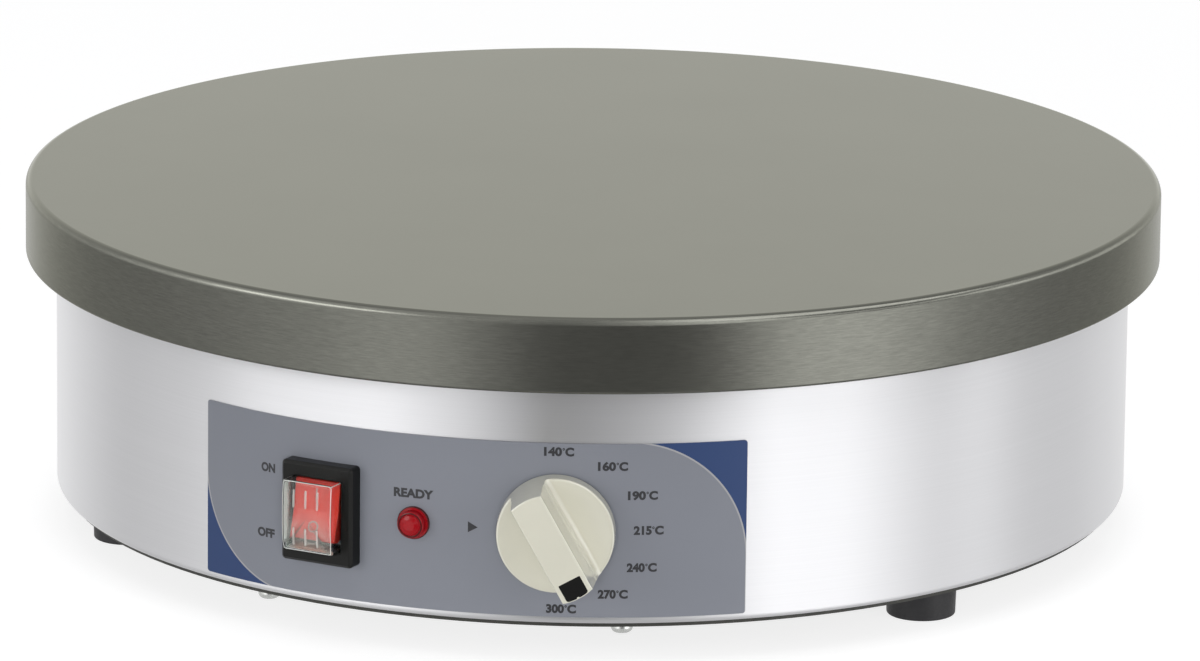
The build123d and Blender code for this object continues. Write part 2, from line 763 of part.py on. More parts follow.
with BuildPart() as switch_bezel:
    brick(
        switch_plane,
        bezel_width,
        bezel_height,
        -bezel_depth,
        bezel_depth,
        corner=bezel_corner_round,
    )
    chamfer(switch_bezel.faces().sort_by(outwards)[-1].edges(), bezel_front_chamfer)
    drum_core(face_radius + fit)
    lip_width = switch_lip_width + 2 * fit
    lip_height = switch_lip_height + 2 * fit
    brick(switch_plane, lip_width, lip_height, -bezel_depth, switch_lip_thickness, Mode.SUBTRACT)
    flange_width = cap_width + 2 * (cap_flange_width + fit)
    flange_height = cap_height + 2 * (cap_flange_width + fit)
    brick(switch_plane, flange_width, flange_height, 0, flange_front, Mode.SUBTRACT)
    brick(switch_plane, cap_width + 2 * fit, cap_height + 2 * fit, 0, bezel_depth, Mode.SUBTRACT)
save(switch_bezel.part, "switch_bezel")

with BuildPart() as switch_terminals:
    with BuildSketch(switch_plane.offset(-switch_body_depth)):
        with GridLocations(blade_spacing_across, blade_spacing_up, 2, 2):
            Rectangle(blade_thickness, blade_width)
    extrude(amount=-blade_length)
save(switch_terminals.part, "switch_terminals")

# ================================================================ ready lamp
with BuildPart() as lamp_lens:
    rod(lamp_plane, lamp_dome_radius, 0, lamp_dome_height)
    dome_edge = lamp_lens.faces().sort_by(Axis(lamp_plane.origin, lamp_plane.z_dir))[-1].edges()
    fillet(dome_edge, lamp_dome_round)
    rod(lamp_plane, lamp_flange_radius, 0, lamp_flange_height)
    rod(lamp_plane, lamp_bore_radius - fit, -lamp_spigot_length, 0)
save(lamp_lens.part, "lamp_lens")

with BuildPart() as lamp_body:
    rod(lamp_plane, lamp_barrel_radius, -lamp_barrel_length, 0)
    rod(lamp_plane, lamp_bore_radius, -lamp_spigot_length, 0, Mode.SUBTRACT)
    with BuildSketch(lamp_plane.offset(-lamp_barrel_length)):
        with GridLocations(lamp_tag_spacing, 0, 2, 1):
            Rectangle(blade_thickness, lamp_tag_width)
    extrude(amount=-lamp_tag_length)
save(lamp_body.part, "lamp_body")

inside_face = drum_inside - face_radius      # the drum's inner surface, in front of a panel plane
lamp_nut_corner = lamp_nut_across_flats / 2 / cos(radians(30))
lamp_nut_front = inside_face - fall(drum_inside, lamp_nut_corner) - fit

with BuildPart() as lamp_nut:
    hexagon(lamp_plane, lamp_nut_across_flats, lamp_nut_front - lamp_nut_height, lamp_nut_front)
    rod(
        lamp_plane,
        lamp_barrel_radius + fit,
        lamp_nut_front - lamp_nut_height,
        lamp_nut_front,
        Mode.SUBTRACT,
    )
save(lamp_nut.part, "lamp_nut")

# ================================================================ thermostat
bracket_front = inside_face - fall(drum_inside, bracket_width / 2) - fit
bracket_back = bracket_front - bracket_sheet
thermostat_back = bracket_back - thermostat_depth
spindle_end = bracket_back - spindle_back

with BuildPart() as thermostat_bracket:
    brick(
        thermostat_plane,
        bracket_width,
        bracket_height,
        bracket_back,
        bracket_front,
        corner=bracket_corner_round,
    )
    rod(thermostat_plane, bush_radius + fit, bracket_back, bracket_front, Mode.SUBTRACT)
    for plane in thermostat_screw_planes:
        rod(plane, m4_radius + fit, bracket_back, bracket_front, Mode.SUBTRACT)
save(thermostat_bracket.part, "thermostat_bracket")

with BuildPart() as thermostat_body:
    brick(
        thermostat_plane,
        thermostat_width,
        thermostat_height,
        thermostat_back,
        bracket_back,
        corner=bracket_corner_round,
    )
    rod(thermostat_plane, diaphragm_radius, thermostat_back - diaphragm_height, thermostat_back)
    rod(thermostat_plane, bush_radius, bracket_back, bush_front)
    spindle_bore = spindle_radius + running
    rod(thermostat_plane, spindle_bore, spindle_end - spindle_end_gap, bush_front, Mode.SUBTRACT)
save(thermostat_body.part, "thermostat_body")

with BuildPart() as thermostat_terminals:
    with BuildSketch(thermostat_plane.offset(thermostat_back)):
        with GridLocations(tab_spacing_across, tab_spacing_up, 2, 2):
            Rectangle(blade_width, blade_thickness)
    extrude(amount=-blade_length)
save(thermostat_terminals.part, "thermostat_terminals")

with BuildPart() as thermostat_screws:
    head_seat = -fit - label_thickness
    for plane in thermostat_screw_planes:
        rod(plane, thermostat_head_radius, head_seat, head_seat + thermostat_head_height)
        rod(plane, m4_radius, bracket_back, head_seat)
save(thermostat_screws.part, "thermostat_screws")

with BuildPart() as thermostat_spindle:
    rod(knob_plane, spindle_radius, spindle_end, spindle_front)
    flat_start = bush_front + hub_gap / 2
    with BuildSketch(knob_plane.offset(flat_start)):
        with Locations((0, -spindle_flat)):
            Rectangle(2 * spindle_radius, spindle_radius, align=(Align.CENTER, Align.MAX))
    extrude(amount=spindle_front - flat_start, mode=Mode.SUBTRACT)
save(thermostat_spindle.part, "thermostat_spindle")

# ================================================================ temperature sensor
bulb_axis = plate_under - bulb_radius
bulb_plane = Plane(origin=(0, bulb_y, bulb_axis), x_dir=(0, 1, 0), z_dir=(1, 0, 0))

with BuildPart() as sensor_bulb:
    rod(bulb_plane, bulb_radius, -bulb_length / 2, bulb_length / 2)
    tips = sensor_bulb.edges().filter_by(GeomType.CIRCLE)
    fillet(tips, bulb_end_round)
save(sensor_bulb.part, "sensor_bulb")

with BuildPart() as bulb_clip:
    arch = bulb_radius + fit
    with BuildSketch(bulb_plane):
        Circle(arch + clip_sheet)
        with Locations((0, bulb_radius - clip_sheet / 2)):
            Rectangle(2 * (arch + clip_sheet + clip_foot), clip_sheet)
            Rectangle(2 * arch, 2 * clip_sheet, mode=Mode.SUBTRACT)
        Circle(arch, mode=Mode.SUBTRACT)
        with Locations((0, bulb_radius)):
            Rectangle(4 * arch + 2 * clip_foot, arch, align=(Align.CENTER, Align.MIN), mode=Mode.SUBTRACT)
        with Locations((0, bulb_radius / 2)):
            Rectangle(2 * arch, bulb_radius, mode=Mode.SUBTRACT)
    extrude(amount=clip_width / 2, both=True)
    discs(clip_screw_places, plate_under - clip_sheet, m4_radius + sheet_hole, clip_sheet, Mode.SUBTRACT)
save(bulb_clip.part, "bulb_clip")

save(
    pan_screws(
        clip_screw_places,
        plate_under - clip_sheet,
        base_head_radius,
        thermostat_head_height,
        m4_radius,
        plate_under + clip_thread_depth,
    ),
    "bulb_clip_screws",
)

with BuildPart() as capillary_tube:
    diaphragm_back = thermostat_plane.offset(thermostat_back - diaphragm_height).origin
    approach = thermostat_plane.offset(thermostat_back - diaphragm_height - capillary_lead).origin
    with BuildLine() as capillary_route:
        FilletPolyline(
            (bulb_length / 2, bulb_y, bulb_axis),
            (bulb_place[0], bulb_y, bulb_axis),
            (bulb_place[0], bulb_y, capillary_low),
            approach,
            diaphragm_back,
            radius=capillary_bend_radius,
        )
    with BuildSketch(Plane(origin=capillary_route.line @ 0, z_dir=capillary_route.line % 0)):
        Circle(capillary_radius)
    sweep(path=capillary_route.line)
save(capillary_tube.part, "capillary_tube")

# ================================================================ control knob
knob_section = Plane(knob_plane.origin, x_dir=knob_plane.x_dir, z_dir=-knob_plane.y_dir)
knob_axis = Axis(knob_plane.origin, knob_plane.z_dir)
slope = tan(radians(grip_draft))
ceiling = skirt_face - dish_depth - dish_bottom_thickness
face_edge = skirt_base_radius - (skirt_face - knob_gap) * slope
dish_edge = face_edge - skirt_land
dish_radius = (dish_edge**2 + dish_depth**2) / (2 * dish_depth)
dish_bottom = skirt_face - dish_depth


def bar_radius(front):
    """Radius of the circle that ends the grip bar, at a distance over the label."""
    return skirt_base_radius - grip_end_inset - (front - knob_gap) * slope


with BuildPart() as control_knob:
    with BuildSketch(knob_section) as skirt_profile:
        with BuildLine():
            ThreePointArc(
                (0, dish_bottom),
                (dish_edge / 2, dish_bottom + fall(dish_radius, dish_edge / 2)),
                (dish_edge, skirt_face),
            )
            Polyline(
                (dish_edge, skirt_face),
                (face_edge, skirt_face),
                (skirt_base_radius, knob_gap),
                (skirt_base_radius - skirt_wall, knob_gap),
                (face_edge - skirt_wall, ceiling),
                (0, ceiling),
                (0, dish_bottom),
            )
        make_face()
        fillet(skirt_profile.vertices().group_by(Axis.Y)[-1].sort_by(Axis.X)[-1], skirt_edge_round)
    revolve(axis=knob_axis)
    with BuildSketch(knob_plane.offset(ceiling)):
        Circle(bar_radius(ceiling))
        foot_half_width = grip_half_width + (grip_front - ceiling) * slope
        Rectangle(2 * skirt_base_radius, 2 * foot_half_width, mode=Mode.INTERSECT)
    extrude(amount=grip_front - ceiling, taper=grip_draft)
    feet = control_knob.edges().filter_by(
        lambda edge: edge.length > grip_half_width * 4
        and 0 < knob_plane.to_local_coords(edge.center()).Z - dish_bottom < dish_depth / 2
    )
    fillet(feet, grip_foot_round)
    fillet(control_knob.faces().sort_by(knob_axis)[-1].edges(), grip_edge_round)
    rod(knob_plane, hub_radius, bush_front + hub_gap, ceiling)
    with BuildSketch(knob_plane.offset(bush_front + hub_gap)):
        Circle(spindle_radius + fit)
        with Locations((0, -spindle_flat - fit)):
            Rectangle(
                2 * (spindle_radius + fit),
                spindle_radius,
                align=(Align.CENTER, Align.MAX),
                mode=Mode.SUBTRACT,
            )
    extrude(amount=spindle_front - bush_front, mode=Mode.SUBTRACT)
    with BuildSketch(knob_plane.offset(grip_front)):
        with Locations((inlay_start, 0)):
            Rectangle(skirt_base_radius, 2 * inlay_half_width, align=(Align.MIN, Align.CENTER))
    extrude(amount=-inlay_thickness, mode=Mode.SUBTRACT)
save(control_knob.part, "control_knob")

with BuildPart() as knob_pointer_inlay:
    inlay_back = grip_front - inlay_thickness
    with BuildSketch(knob_plane.offset(inlay_back)):
        Circle(bar_radius(inlay_back))
        with Locations((inlay_start + fit, 0)):
            Rectangle(
                skirt_base_radius,
                2 * (inlay_half_width - fit),
                align=(Align.MIN, Align.CENTER),
                mode=Mode.INTERSECT,
            )
    extrude(amount=inlay_thickness, taper=grip_draft)
save(knob_pointer_inlay.part, "knob_pointer_inlay")

# ================================================================ mains inlet
neck_end = gland_hex_length + gland_neck_length
nut_start = gland_hex_length + gland_nut_gap
nut_end = nut_start + gland_nut_length
locknut_corner = gland_locknut_across_flats / 2 / cos(radians(30))
locknut_front = -drum_sheet - fall(drum_inside, locknut_corner) - fit

with BuildPart() as cable_gland:
    rod(gland_plane, gland_thread_radius, -gland_inside_length, fit)
    hexagon(gland_plane, gland_hex_across_flats, fit, gland_hex_length)
    rod(gland_plane, gland_neck_radius, gland_hex_length, neck_end)
    rod(gland_plane, gland_bore_radius, -gland_inside_length, neck_end, Mode.SUBTRACT)
save(cable_gland.part, "cable_gland")

with BuildPart() as gland_dome_nut:
    hexagon(gland_plane, gland_hex_across_flats, nut_start, nut_end)
    with BuildSketch(Plane(gland_plane.origin, x_dir=gland_plane.x_dir, z_dir=-gland_plane.y_dir)) as dome:
        with Locations((0, nut_start)):
            Rectangle(gland_hex_across_flats, gland_nut_length, align=(Align.MIN, Align.MIN))
        fillet(dome.vertices().group_by(Axis.Y)[-1].sort_by(Axis.X)[-1], gland_dome_round)
    revolve(axis=Axis(gland_plane.origin, gland_plane.z_dir), mode=Mode.INTERSECT)
    rod(gland_plane, gland_neck_radius + fit, nut_start, neck_end + fit, Mode.SUBTRACT)
    rod(gland_plane, gland_bore_radius, nut_start, nut_end, Mode.SUBTRACT)
save(gland_dome_nut.part, "gland_dome_nut")

with BuildPart() as gland_seal:
    rod(gland_plane, gland_bore_radius - fit, gland_hex_length, nut_end - gland_seal_recess)
    rod(gland_plane, cable_radius, gland_hex_length, nut_end, Mode.SUBTRACT)
save(gland_seal.part, "gland_seal")

with BuildPart() as gland_locknut:
    back = locknut_front - gland_locknut_length
    hexagon(gland_plane, gland_locknut_across_flats, back, locknut_front)
    rod(gland_plane, gland_thread_radius + fit, back, locknut_front, Mode.SUBTRACT)
save(gland_locknut.part, "gland_locknut")

# ================================================================ terminal block and earth
pole_places = [
    (pole * terminal_pitch, terminal_block_y + row * terminal_row_spacing / 2)
    for pole in (-1, 0, 1)
    for row in (-1, 1)
]
block_top = base_top + terminal_block_height
clamp_screw_bottom = block_top - terminal_well_depth

with BuildPart() as terminal_block:
    with BuildSketch(Plane.XY.offset(base_top)):
        with Locations((0, terminal_block_y)):
            RectangleRounded(terminal_block_length, terminal_block_width, bracket_corner_round)
    extrude(amount=terminal_block_height)
    discs(
        pole_places,
        clamp_screw_bottom,
        terminal_screw_radius + sheet_hole,
        terminal_well_depth,
        Mode.SUBTRACT,
    )
    discs(block_screw_places, base_top, m4_radius + fit, block_thread_depth, Mode.SUBTRACT)
    entry = Plane(
        origin=(0, terminal_block_y, clamp_screw_bottom - terminal_entry_drop),
        x_dir=(1, 0, 0),
        z_dir=(0, 1, 0),
    )
    with BuildSketch(entry) as entries:
        with GridLocations(terminal_pitch, 0, 3, 1):
            Circle(terminal_entry_radius)
    for way in (-1, 1):
        face = way * terminal_block_width / 2
        start_face = entries.sketch.moved(Location((0, face, 0)))
        extrude(start_face, amount=-way * terminal_entry_depth, mode=Mode.SUBTRACT)
save(terminal_block.part, "terminal_block")

with BuildPart() as terminal_screws:
    discs(pole_places, clamp_screw_bottom, terminal_screw_radius, terminal_screw_height)
save(terminal_screws.part, "terminal_screws")

save(
    pan_screws(
        block_screw_places,
        foot_height,
        base_head_radius,
        thermostat_head_height,
        m4_radius,
        base_top + block_thread_depth,
    ),
    "terminal_block_screws",
)

with BuildPart() as earth_stud:
    discs([(earth_stud_x, terminal_block_y)], base_top, m6_radius, earth_stud_length)
save(earth_stud.part, "earth_stud")

with BuildPart() as earth_nut:
    flange_nuts([(earth_stud_x, terminal_block_y)], base_top, 1, m6_nut)
save(earth_nut.part, "earth_nut")
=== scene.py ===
"""Electric crepe maker: its outer pieces, finishes and printed marks, with floor, light and camera.

Shapes are worked out in millimetres and turned into metres when a mesh is made. The controls face
-Y, an azimuth is counted in degrees from -Y towards +X, and lift is the distance over the label.
"""
import json
import math

import bpy
import numpy as np
from mathutils import Matrix, Vector

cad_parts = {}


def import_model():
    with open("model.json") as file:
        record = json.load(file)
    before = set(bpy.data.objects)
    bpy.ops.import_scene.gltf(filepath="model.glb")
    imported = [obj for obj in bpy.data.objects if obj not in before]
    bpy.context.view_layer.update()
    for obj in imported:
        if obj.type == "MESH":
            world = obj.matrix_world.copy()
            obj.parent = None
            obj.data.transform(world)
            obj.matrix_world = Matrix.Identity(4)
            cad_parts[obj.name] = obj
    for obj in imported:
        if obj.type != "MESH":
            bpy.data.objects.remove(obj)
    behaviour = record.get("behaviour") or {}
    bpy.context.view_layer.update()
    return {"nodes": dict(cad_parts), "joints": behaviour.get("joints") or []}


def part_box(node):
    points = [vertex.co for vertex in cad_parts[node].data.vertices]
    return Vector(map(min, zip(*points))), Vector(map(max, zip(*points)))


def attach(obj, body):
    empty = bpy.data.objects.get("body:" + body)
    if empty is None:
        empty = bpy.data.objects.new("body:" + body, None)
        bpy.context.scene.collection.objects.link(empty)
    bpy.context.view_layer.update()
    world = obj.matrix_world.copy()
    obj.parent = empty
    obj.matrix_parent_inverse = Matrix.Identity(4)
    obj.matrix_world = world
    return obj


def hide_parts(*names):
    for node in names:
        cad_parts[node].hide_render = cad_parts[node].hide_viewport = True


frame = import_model()

MM = 0.001
WELD = 1e-5                  # points closer than this, in millimetres, are one point
SHARP_ANGLE = 35.0           # edges that turn by more than this stay sharp
FULL_TURN = 2 * math.pi


# ================================================================ places read from the frame
def span(node):
    """Lowest and highest corner of a CAD node, in millimetres."""
    return [np.array(corner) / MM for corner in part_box(node)]


def azimuth_of(point):
    """Azimuth of a point about the plate's axis, in degrees."""
    return math.degrees(math.atan2(point[0], -point[1]))


joints = {joint["name"]: joint for joint in frame["joints"]}
(_, _, rim_bottom), (plate_radius, _, plate_top) = span("griddle_plate")
(_, _, drum_bottom), (drum_radius, _, drum_top) = span("housing_shell")
(_, _, label_bottom), (_, _, label_top) = span("control_label")

label_gap = 0.05             # between the drum and the label
label_thickness = 0.3
face_radius = drum_radius + label_gap + label_thickness
label_left, label_right = -26.7, 33.05           # azimuths of the label's ends
control_height = joints["knob_turn"]["pos_m"][2] / MM
knob_azimuth = azimuth_of(joints["knob_turn"]["axis"])
switch_azimuth = azimuth_of(joints["switch_rock"]["pos_m"])
lamp_azimuth = azimuth_of(np.mean(span("lamp_lens"), axis=0))


# ================================================================ outlines and grids of points
def rounded(corners, closed=True, steps=8, support=0.05):
    """Outline through corners (x, y, radius), where a corner with a radius becomes an arc.

    The arc touches both sides at radius / tan(half the inner angle) from the corner, about a centre
    on the bisector at radius / sin(half the inner angle). One support point stands just before and
    one just after each arc, so that the flats beside it stay flat when they are shaded.
    """
    places = np.array([corner[:2] for corner in corners], float)
    last = len(corners) - 1
    parts = []
    for i, (_, _, radius) in enumerate(corners):
        here = places[i]
        if radius == 0 or (not closed and i in (0, last)):
            parts.append(here[None])
            continue
        before = places[i - 1] - here
        after = places[(i + 1) % len(corners)] - here
        before /= np.linalg.norm(before)
        after /= np.linalg.norm(after)
        half = math.acos(np.clip(before @ after, -1, 1)) / 2
        reach = radius / math.tan(half)
        bisector = (before + after) / np.linalg.norm(before + after)
        centre = here + bisector * radius / math.sin(half)
        start = here + before * reach - centre
        end = here + after * reach - centre
        sweep = math.pi - 2 * half
        t = np.linspace(0, 1, steps + 1)[:, None]
        arc = centre + (np.sin((1 - t) * sweep) * start + np.sin(t * sweep) * end) / math.sin(sweep)
        parts += [arc[:1] + before * support, arc, arc[-1:] + after * support]
    return np.vstack(parts)


def rounded_rectangle(width, height, radius, arc_steps=6, side_steps=8):
    """Rectangle about the origin, counter-clockwise, with quarter-circle corners and divided sides."""
    radius = max(radius, 1e-3)
    centre = np.array([width / 2 - radius, height / 2 - radius])
    quarter = np.linspace(0, math.pi / 2, arc_steps + 1)
    arcs = []
    for turn, signs in enumerate([(1, 1), (-1, 1), (-1, -1), (1, -1)]):
        angle = quarter + turn * math.pi / 2
        arcs.append(centre * signs + radius * np.stack([np.cos(angle), np.sin(angle)], -1))
    t = np.linspace(0, 1, side_steps + 2)[1:-1, None]
    sides = [arc[-1] + t * (arcs[(i + 1) % 4][0] - arc[-1]) for i, arc in enumerate(arcs)]
    return np.vstack([part for pair in zip(arcs, sides) for part in pair])


def inset(outline, distance):
    """Closed counter-clockwise outline moved inwards: each point goes along its normal by distance."""
    along = np.roll(outline, -1, 0) - np.roll(outline, 1, 0)
    along /= np.linalg.norm(along, axis=1, keepdims=True)
    return outline - np.stack([along[:, 1], -along[:, 0]], -1) * distance


def turned(outline, steps=128):
    """Surface of revolution: each outline point (r, z) goes round as (r sin a, -r cos a, z)."""
    turn = np.linspace(0, FULL_TURN, steps, endpoint=False)
    r, z = outline[:, :1], outline[:, 1:]
    return np.stack([r * np.sin(turn), -r * np.cos(turn), z + 0 * turn], -1)


def level(outline, height):
    """Flat outline (x, y) as one row of points at a height, a number or one value per point."""
    return np.column_stack([outline, np.broadcast_to(height, len(outline))])


def capped(rows):
    """Rows with one more at each end, all in the middle of the first or last, to close the surface."""
    first, last = (np.broadcast_to(rows[end].mean(0), rows[end].shape) for end in (0, -1))
    return np.array([first, *rows, last])


def on_panel(points, azimuth, turn=0.0):
    """Local (right, up, lift) as (x, y, z), on the plane that touches the label at the azimuth."""
    a, t = math.radians(azimuth), math.radians(turn)
    right = np.array([math.cos(a), math.sin(a), 0])
    up = np.array([0, 0, 1.0])
    out = np.array([math.sin(a), -math.cos(a), 0])
    axes = np.array([right * math.cos(t) + up * math.sin(t), up * math.cos(t) - right * math.sin(t), out])
    return out * face_radius + up * control_height + np.asarray(points) @ axes


def on_label(points):
    """(arc length, height, lift) as (x, y, z), wrapped on the label's curved face."""
    a = points[..., 0] / face_radius
    r = face_radius + points[..., 2]
    return np.stack([r * np.sin(a), -r * np.cos(a), points[..., 1]], -1)


def arc_length(azimuth):
    """Distance along the label's face from azimuth 0, in millimetres."""
    return math.radians(azimuth) * face_radius


# ================================================================ meshes
def weld(points, quads):
    """Joins points that lie together. Quads that lose one corner become triangles, others are dropped."""
    keys = np.floor(points / WELD + 0.25).astype(np.int64)
    _, first, index = np.unique(keys, axis=0, return_index=True, return_inverse=True)
    faces = index.ravel()[quads]
    same = faces == np.roll(faces, -1, axis=1)
    lost = same.sum(1)
    keep = (same[lost == 1].argmax(1)[:, None] + np.array([1, 2, 3])) % 4
    return points[first], faces[lost == 0], np.take_along_axis(faces[lost == 1], keep, 1)


def grid(points, loop_rows=False):
    """Closed surface from a (rows, columns, 3) array. Columns close on themselves, rows if asked.

    The volume that the faces enclose, the sum of a . (b x c) / 6 over their triangles, tells which way
    they face, and where it is negative they are turned round.
    """
    rows, columns = points.shape[:2]
    index = np.arange(rows * columns).reshape(rows, columns)
    if loop_rows:
        index = np.vstack([index, index[:1]])
    index = np.hstack([index, index[:, :1]])
    quads = np.stack([index[:-1, :-1], index[:-1, 1:], index[1:, 1:], index[1:, :-1]], -1)
    places, quads, triangles = weld(points.reshape(-1, 3), quads.reshape(-1, 4))
    thirds = np.vstack([quads[:, [0, 1, 2]], quads[:, [0, 2, 3]], triangles])
    a, b, c = (places[thirds[:, i]] for i in range(3))
    if (a * np.cross(b, c)).sum() < 0:
        quads, triangles = quads[:, ::-1], triangles[:, ::-1]
    return places, quads, triangles


def add_object(name, data):
    """Object of a mesh, a text, a camera or a lamp, in the scene."""
    made = bpy.data.objects.new(name, data)
    bpy.context.scene.collection.objects.link(made)
    return made


def dress(piece, finish, body, replaces=()):
    """Gives a finished piece its finish and its body, and hides the nodes it stands for."""
    piece.data.materials.clear()
    piece.data.materials.append(finishes[finish])
    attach(piece, body)
    if replaces:
        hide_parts(*replaces)
    return piece


def make_piece(name, surfaces, slot, replaces=(), body="machine", finish=None, sharp=SHARP_ANGLE):
    """One mesh object from surfaces as grid() gives them, smooth apart from sharp edges."""
    mesh = bpy.data.meshes.new(name)
    places, faces, count = [], [], 0
    for points, quads, triangles in surfaces:
        places.append(points * MM)
        faces += (quads + count).tolist() + (triangles + count).tolist()
        count += len(points)
    mesh.from_pydata(np.vstack(places), [], faces)
    mesh.shade_smooth()
    mesh.set_sharp_from_angle(angle=math.radians(sharp))
    return dress(add_object(name, mesh), finish or slot, body, replaces)


def points_of(mesh):
    """Places of a mesh's points, as an array."""
    places = np.empty(len(mesh.vertices) * 3)
    mesh.vertices.foreach_get("co", places)
    return places.reshape(-1, 3)


# ================================================================ shader nodes
def plug(tree, made, inputs):
    """Sets inputs of a node. Each is a plain value or another node's output socket."""
    for key, value in inputs.items():
        if isinstance(value, bpy.types.NodeSocket):
            tree.links.new(value, made.inputs[key])
        else:
            made.inputs[key].default_value = value
    return made


def add(tree, kind, inputs=None, **settings):
    """Adds a node with its settings and its inputs."""
    made = tree.nodes.new(kind)
    for key, value in settings.items():
        setattr(made, key, value)
    return plug(tree, made, inputs or {})


def use(tree, group, **inputs):
    """Places a node group, sets its inputs by name and gives its outputs."""
    return add(tree, "ShaderNodeGroup", inputs, node_tree=group).outputs


def maths(tree, operation, *values):
    """Output of a Math node on up to three values or sockets."""
    return add(tree, "ShaderNodeMath", dict(enumerate(values)), operation=operation).outputs[0]


def weighed(tree, x, a, y, b):
    """Output of x a + y b."""
    return maths(tree, "MULTIPLY_ADD", x, a, maths(tree, "MULTIPLY", y, b))


def hypotenuse(tree, x, y):
    """Output of the root of x x + y y."""
    return maths(tree, "SQRT", weighed(tree, x, x, y, y))


def about(tree, field, amount, middle=1.0):
    """Output of middle + amount (field - 0.5), for a field that is 0.5 on average."""
    return maths(tree, "MULTIPLY_ADD", maths(tree, "SUBTRACT", field, 0.5), amount, middle)


def blend_colour(tree, factor, first, second, blend_type="MIX"):
    """Output of a colour Mix node."""
    inputs = {0: factor, 6: first, 7: second}
    return add(tree, "ShaderNodeMix", inputs, data_type="RGBA", blend_type=blend_type).outputs[2]


def toned(tree, colour, factor):
    """Output of a colour times a factor."""
    grey = add(tree, "ShaderNodeCombineColor", {0: factor, 1: factor, 2: factor}).outputs[0]
    return blend_colour(tree, 1.0, colour, grey, "MULTIPLY")


def ramp(tree, value, start, end, low=0.0, high=1.0, smooth=True):
    """Output that goes from low to high while the value goes from start to end."""
    kind = "SMOOTHSTEP" if smooth else "LINEAR"
    inputs = {0: value, 1: start, 2: end, 3: low, 4: high}
    return add(tree, "ShaderNodeMapRange", inputs, interpolation_type=kind).outputs[0]


def within(tree, value, start, end, soft):
    """1 between start and end, and 0 outside, with soft borders."""
    rise = ramp(tree, value, start - soft, start + soft)
    fall = ramp(tree, value, end - soft, end + soft, 1.0, 0.0)
    return maths(tree, "MULTIPLY", rise, fall)


def noise(tree, vector, scale, detail=3.0, roughness=0.5):
    """Output of a noise texture, about 0.5 on average."""
    inputs = {"Vector": vector, "Scale": scale, "Detail": detail, "Roughness": roughness}
    return add(tree, "ShaderNodeTexNoise", inputs).outputs[0]


def apart(tree, vector):
    """The three outputs x, y and z of a vector."""
    return add(tree, "ShaderNodeSeparateXYZ", {0: vector}).outputs


def new_group(name, inputs, outputs):
    """Empty shader group from its sockets' names and kinds: its tree, what enters it, and its end node."""
    tree = bpy.data.node_groups.new(name, "ShaderNodeTree")
    for in_out, sockets in (("INPUT", inputs), ("OUTPUT", outputs)):
        for label, kind in sockets.items():
            tree.interface.new_socket(name=label, in_out=in_out, socket_type="NodeSocket" + kind)
    return tree, tree.nodes.new("NodeGroupInput").outputs, tree.nodes.new("NodeGroupOutput")


def streaks_group():
    """Lines of brushed or turned metal: noise that is stretched along X and Y and tight along Z.

    Lines gives fine lines, Patches slow differences between areas. Both are about 0.5 on average.
    """
    tree, enter, leave = new_group(
        "streaks",
        {"Vector": "Vector", "Along": "Float", "Across": "Float", "Patch": "Float"},
        {"Lines": "Float", "Patches": "Float"},
    )
    along, across = enter["Along"], enter["Across"]
    scale = add(tree, "ShaderNodeCombineXYZ", {0: along, 1: along, 2: across}).outputs[0]
    stretched = add(tree, "ShaderNodeVectorMath", {0: enter["Vector"], 1: scale}, operation="MULTIPLY")
    plug(tree, leave, {
        "Lines": noise(tree, stretched.outputs[0], 1.0, detail=4.0, roughness=0.65),
        "Patches": noise(tree, enter["Vector"], enter["Patch"], detail=2.0),
    })
    return tree


def mottle_group():
    """Slow lighter and darker areas: the colour times 1 + Amount * (noise - 0.5) * 2."""
    tree, enter, leave = new_group(
        "mottle",
        {"Vector": "Vector", "Color": "Color", "Scale": "Float", "Amount": "Float"},
        {"Color": "Color"},
    )
    field = noise(tree, enter["Vector"], enter["Scale"], detail=5.0, roughness=0.6)
    swing = maths(tree, "MULTIPLY_ADD", field, 2.0, -1.0)
    factor = maths(tree, "MULTIPLY_ADD", swing, enter["Amount"], 1.0)
    plug(tree, leave, {"Color": toned(tree, enter["Color"], factor)})
    return tree


def grain_group():
    """Fine skin of moulded plastic, rubber or rough sheet: small cells over smaller noise, as a height."""
    tree, enter, leave = new_group("grain", {"Vector": "Vector", "Scale": "Float"}, {"Height": "Float"})
    fine = noise(tree, enter["Vector"], enter["Scale"], detail=3.0, roughness=0.7)
    wide = maths(tree, "MULTIPLY", enter["Scale"], 0.5)
    cells = add(tree, "ShaderNodeTexVoronoi", {"Vector": enter["Vector"], "Scale": wide}).outputs["Distance"]
    plug(tree, leave, {"Height": maths(tree, "MULTIPLY_ADD", cells, 0.4, fine)})
    return tree


def crystals_group():
    """Spangle of zinc: flat patches, each with its own brightness, from 0 to 1."""
    tree, enter, leave = new_group("crystals", {"Vector": "Vector", "Scale": "Float"}, {"Shade": "Float"})
    vector, scale = enter["Vector"], enter["Scale"]
    bent = noise(tree, vector, scale, detail=1.0)
    moved = add(tree, "ShaderNodeVectorMath", {0: vector, 1: bent, 2: vector}, operation="MULTIPLY_ADD")
    cells = add(tree, "ShaderNodeTexVoronoi", {"Vector": moved.outputs[0], "Scale": scale})
    shade = add(tree, "ShaderNodeSeparateColor", {0: cells.outputs["Color"]})
    plug(tree, leave, {"Shade": shade.outputs[0]})
    return tree


STREAKS, MOTTLE, GRAIN, CRYSTALS = streaks_group(), mottle_group(), grain_group(), crystals_group()


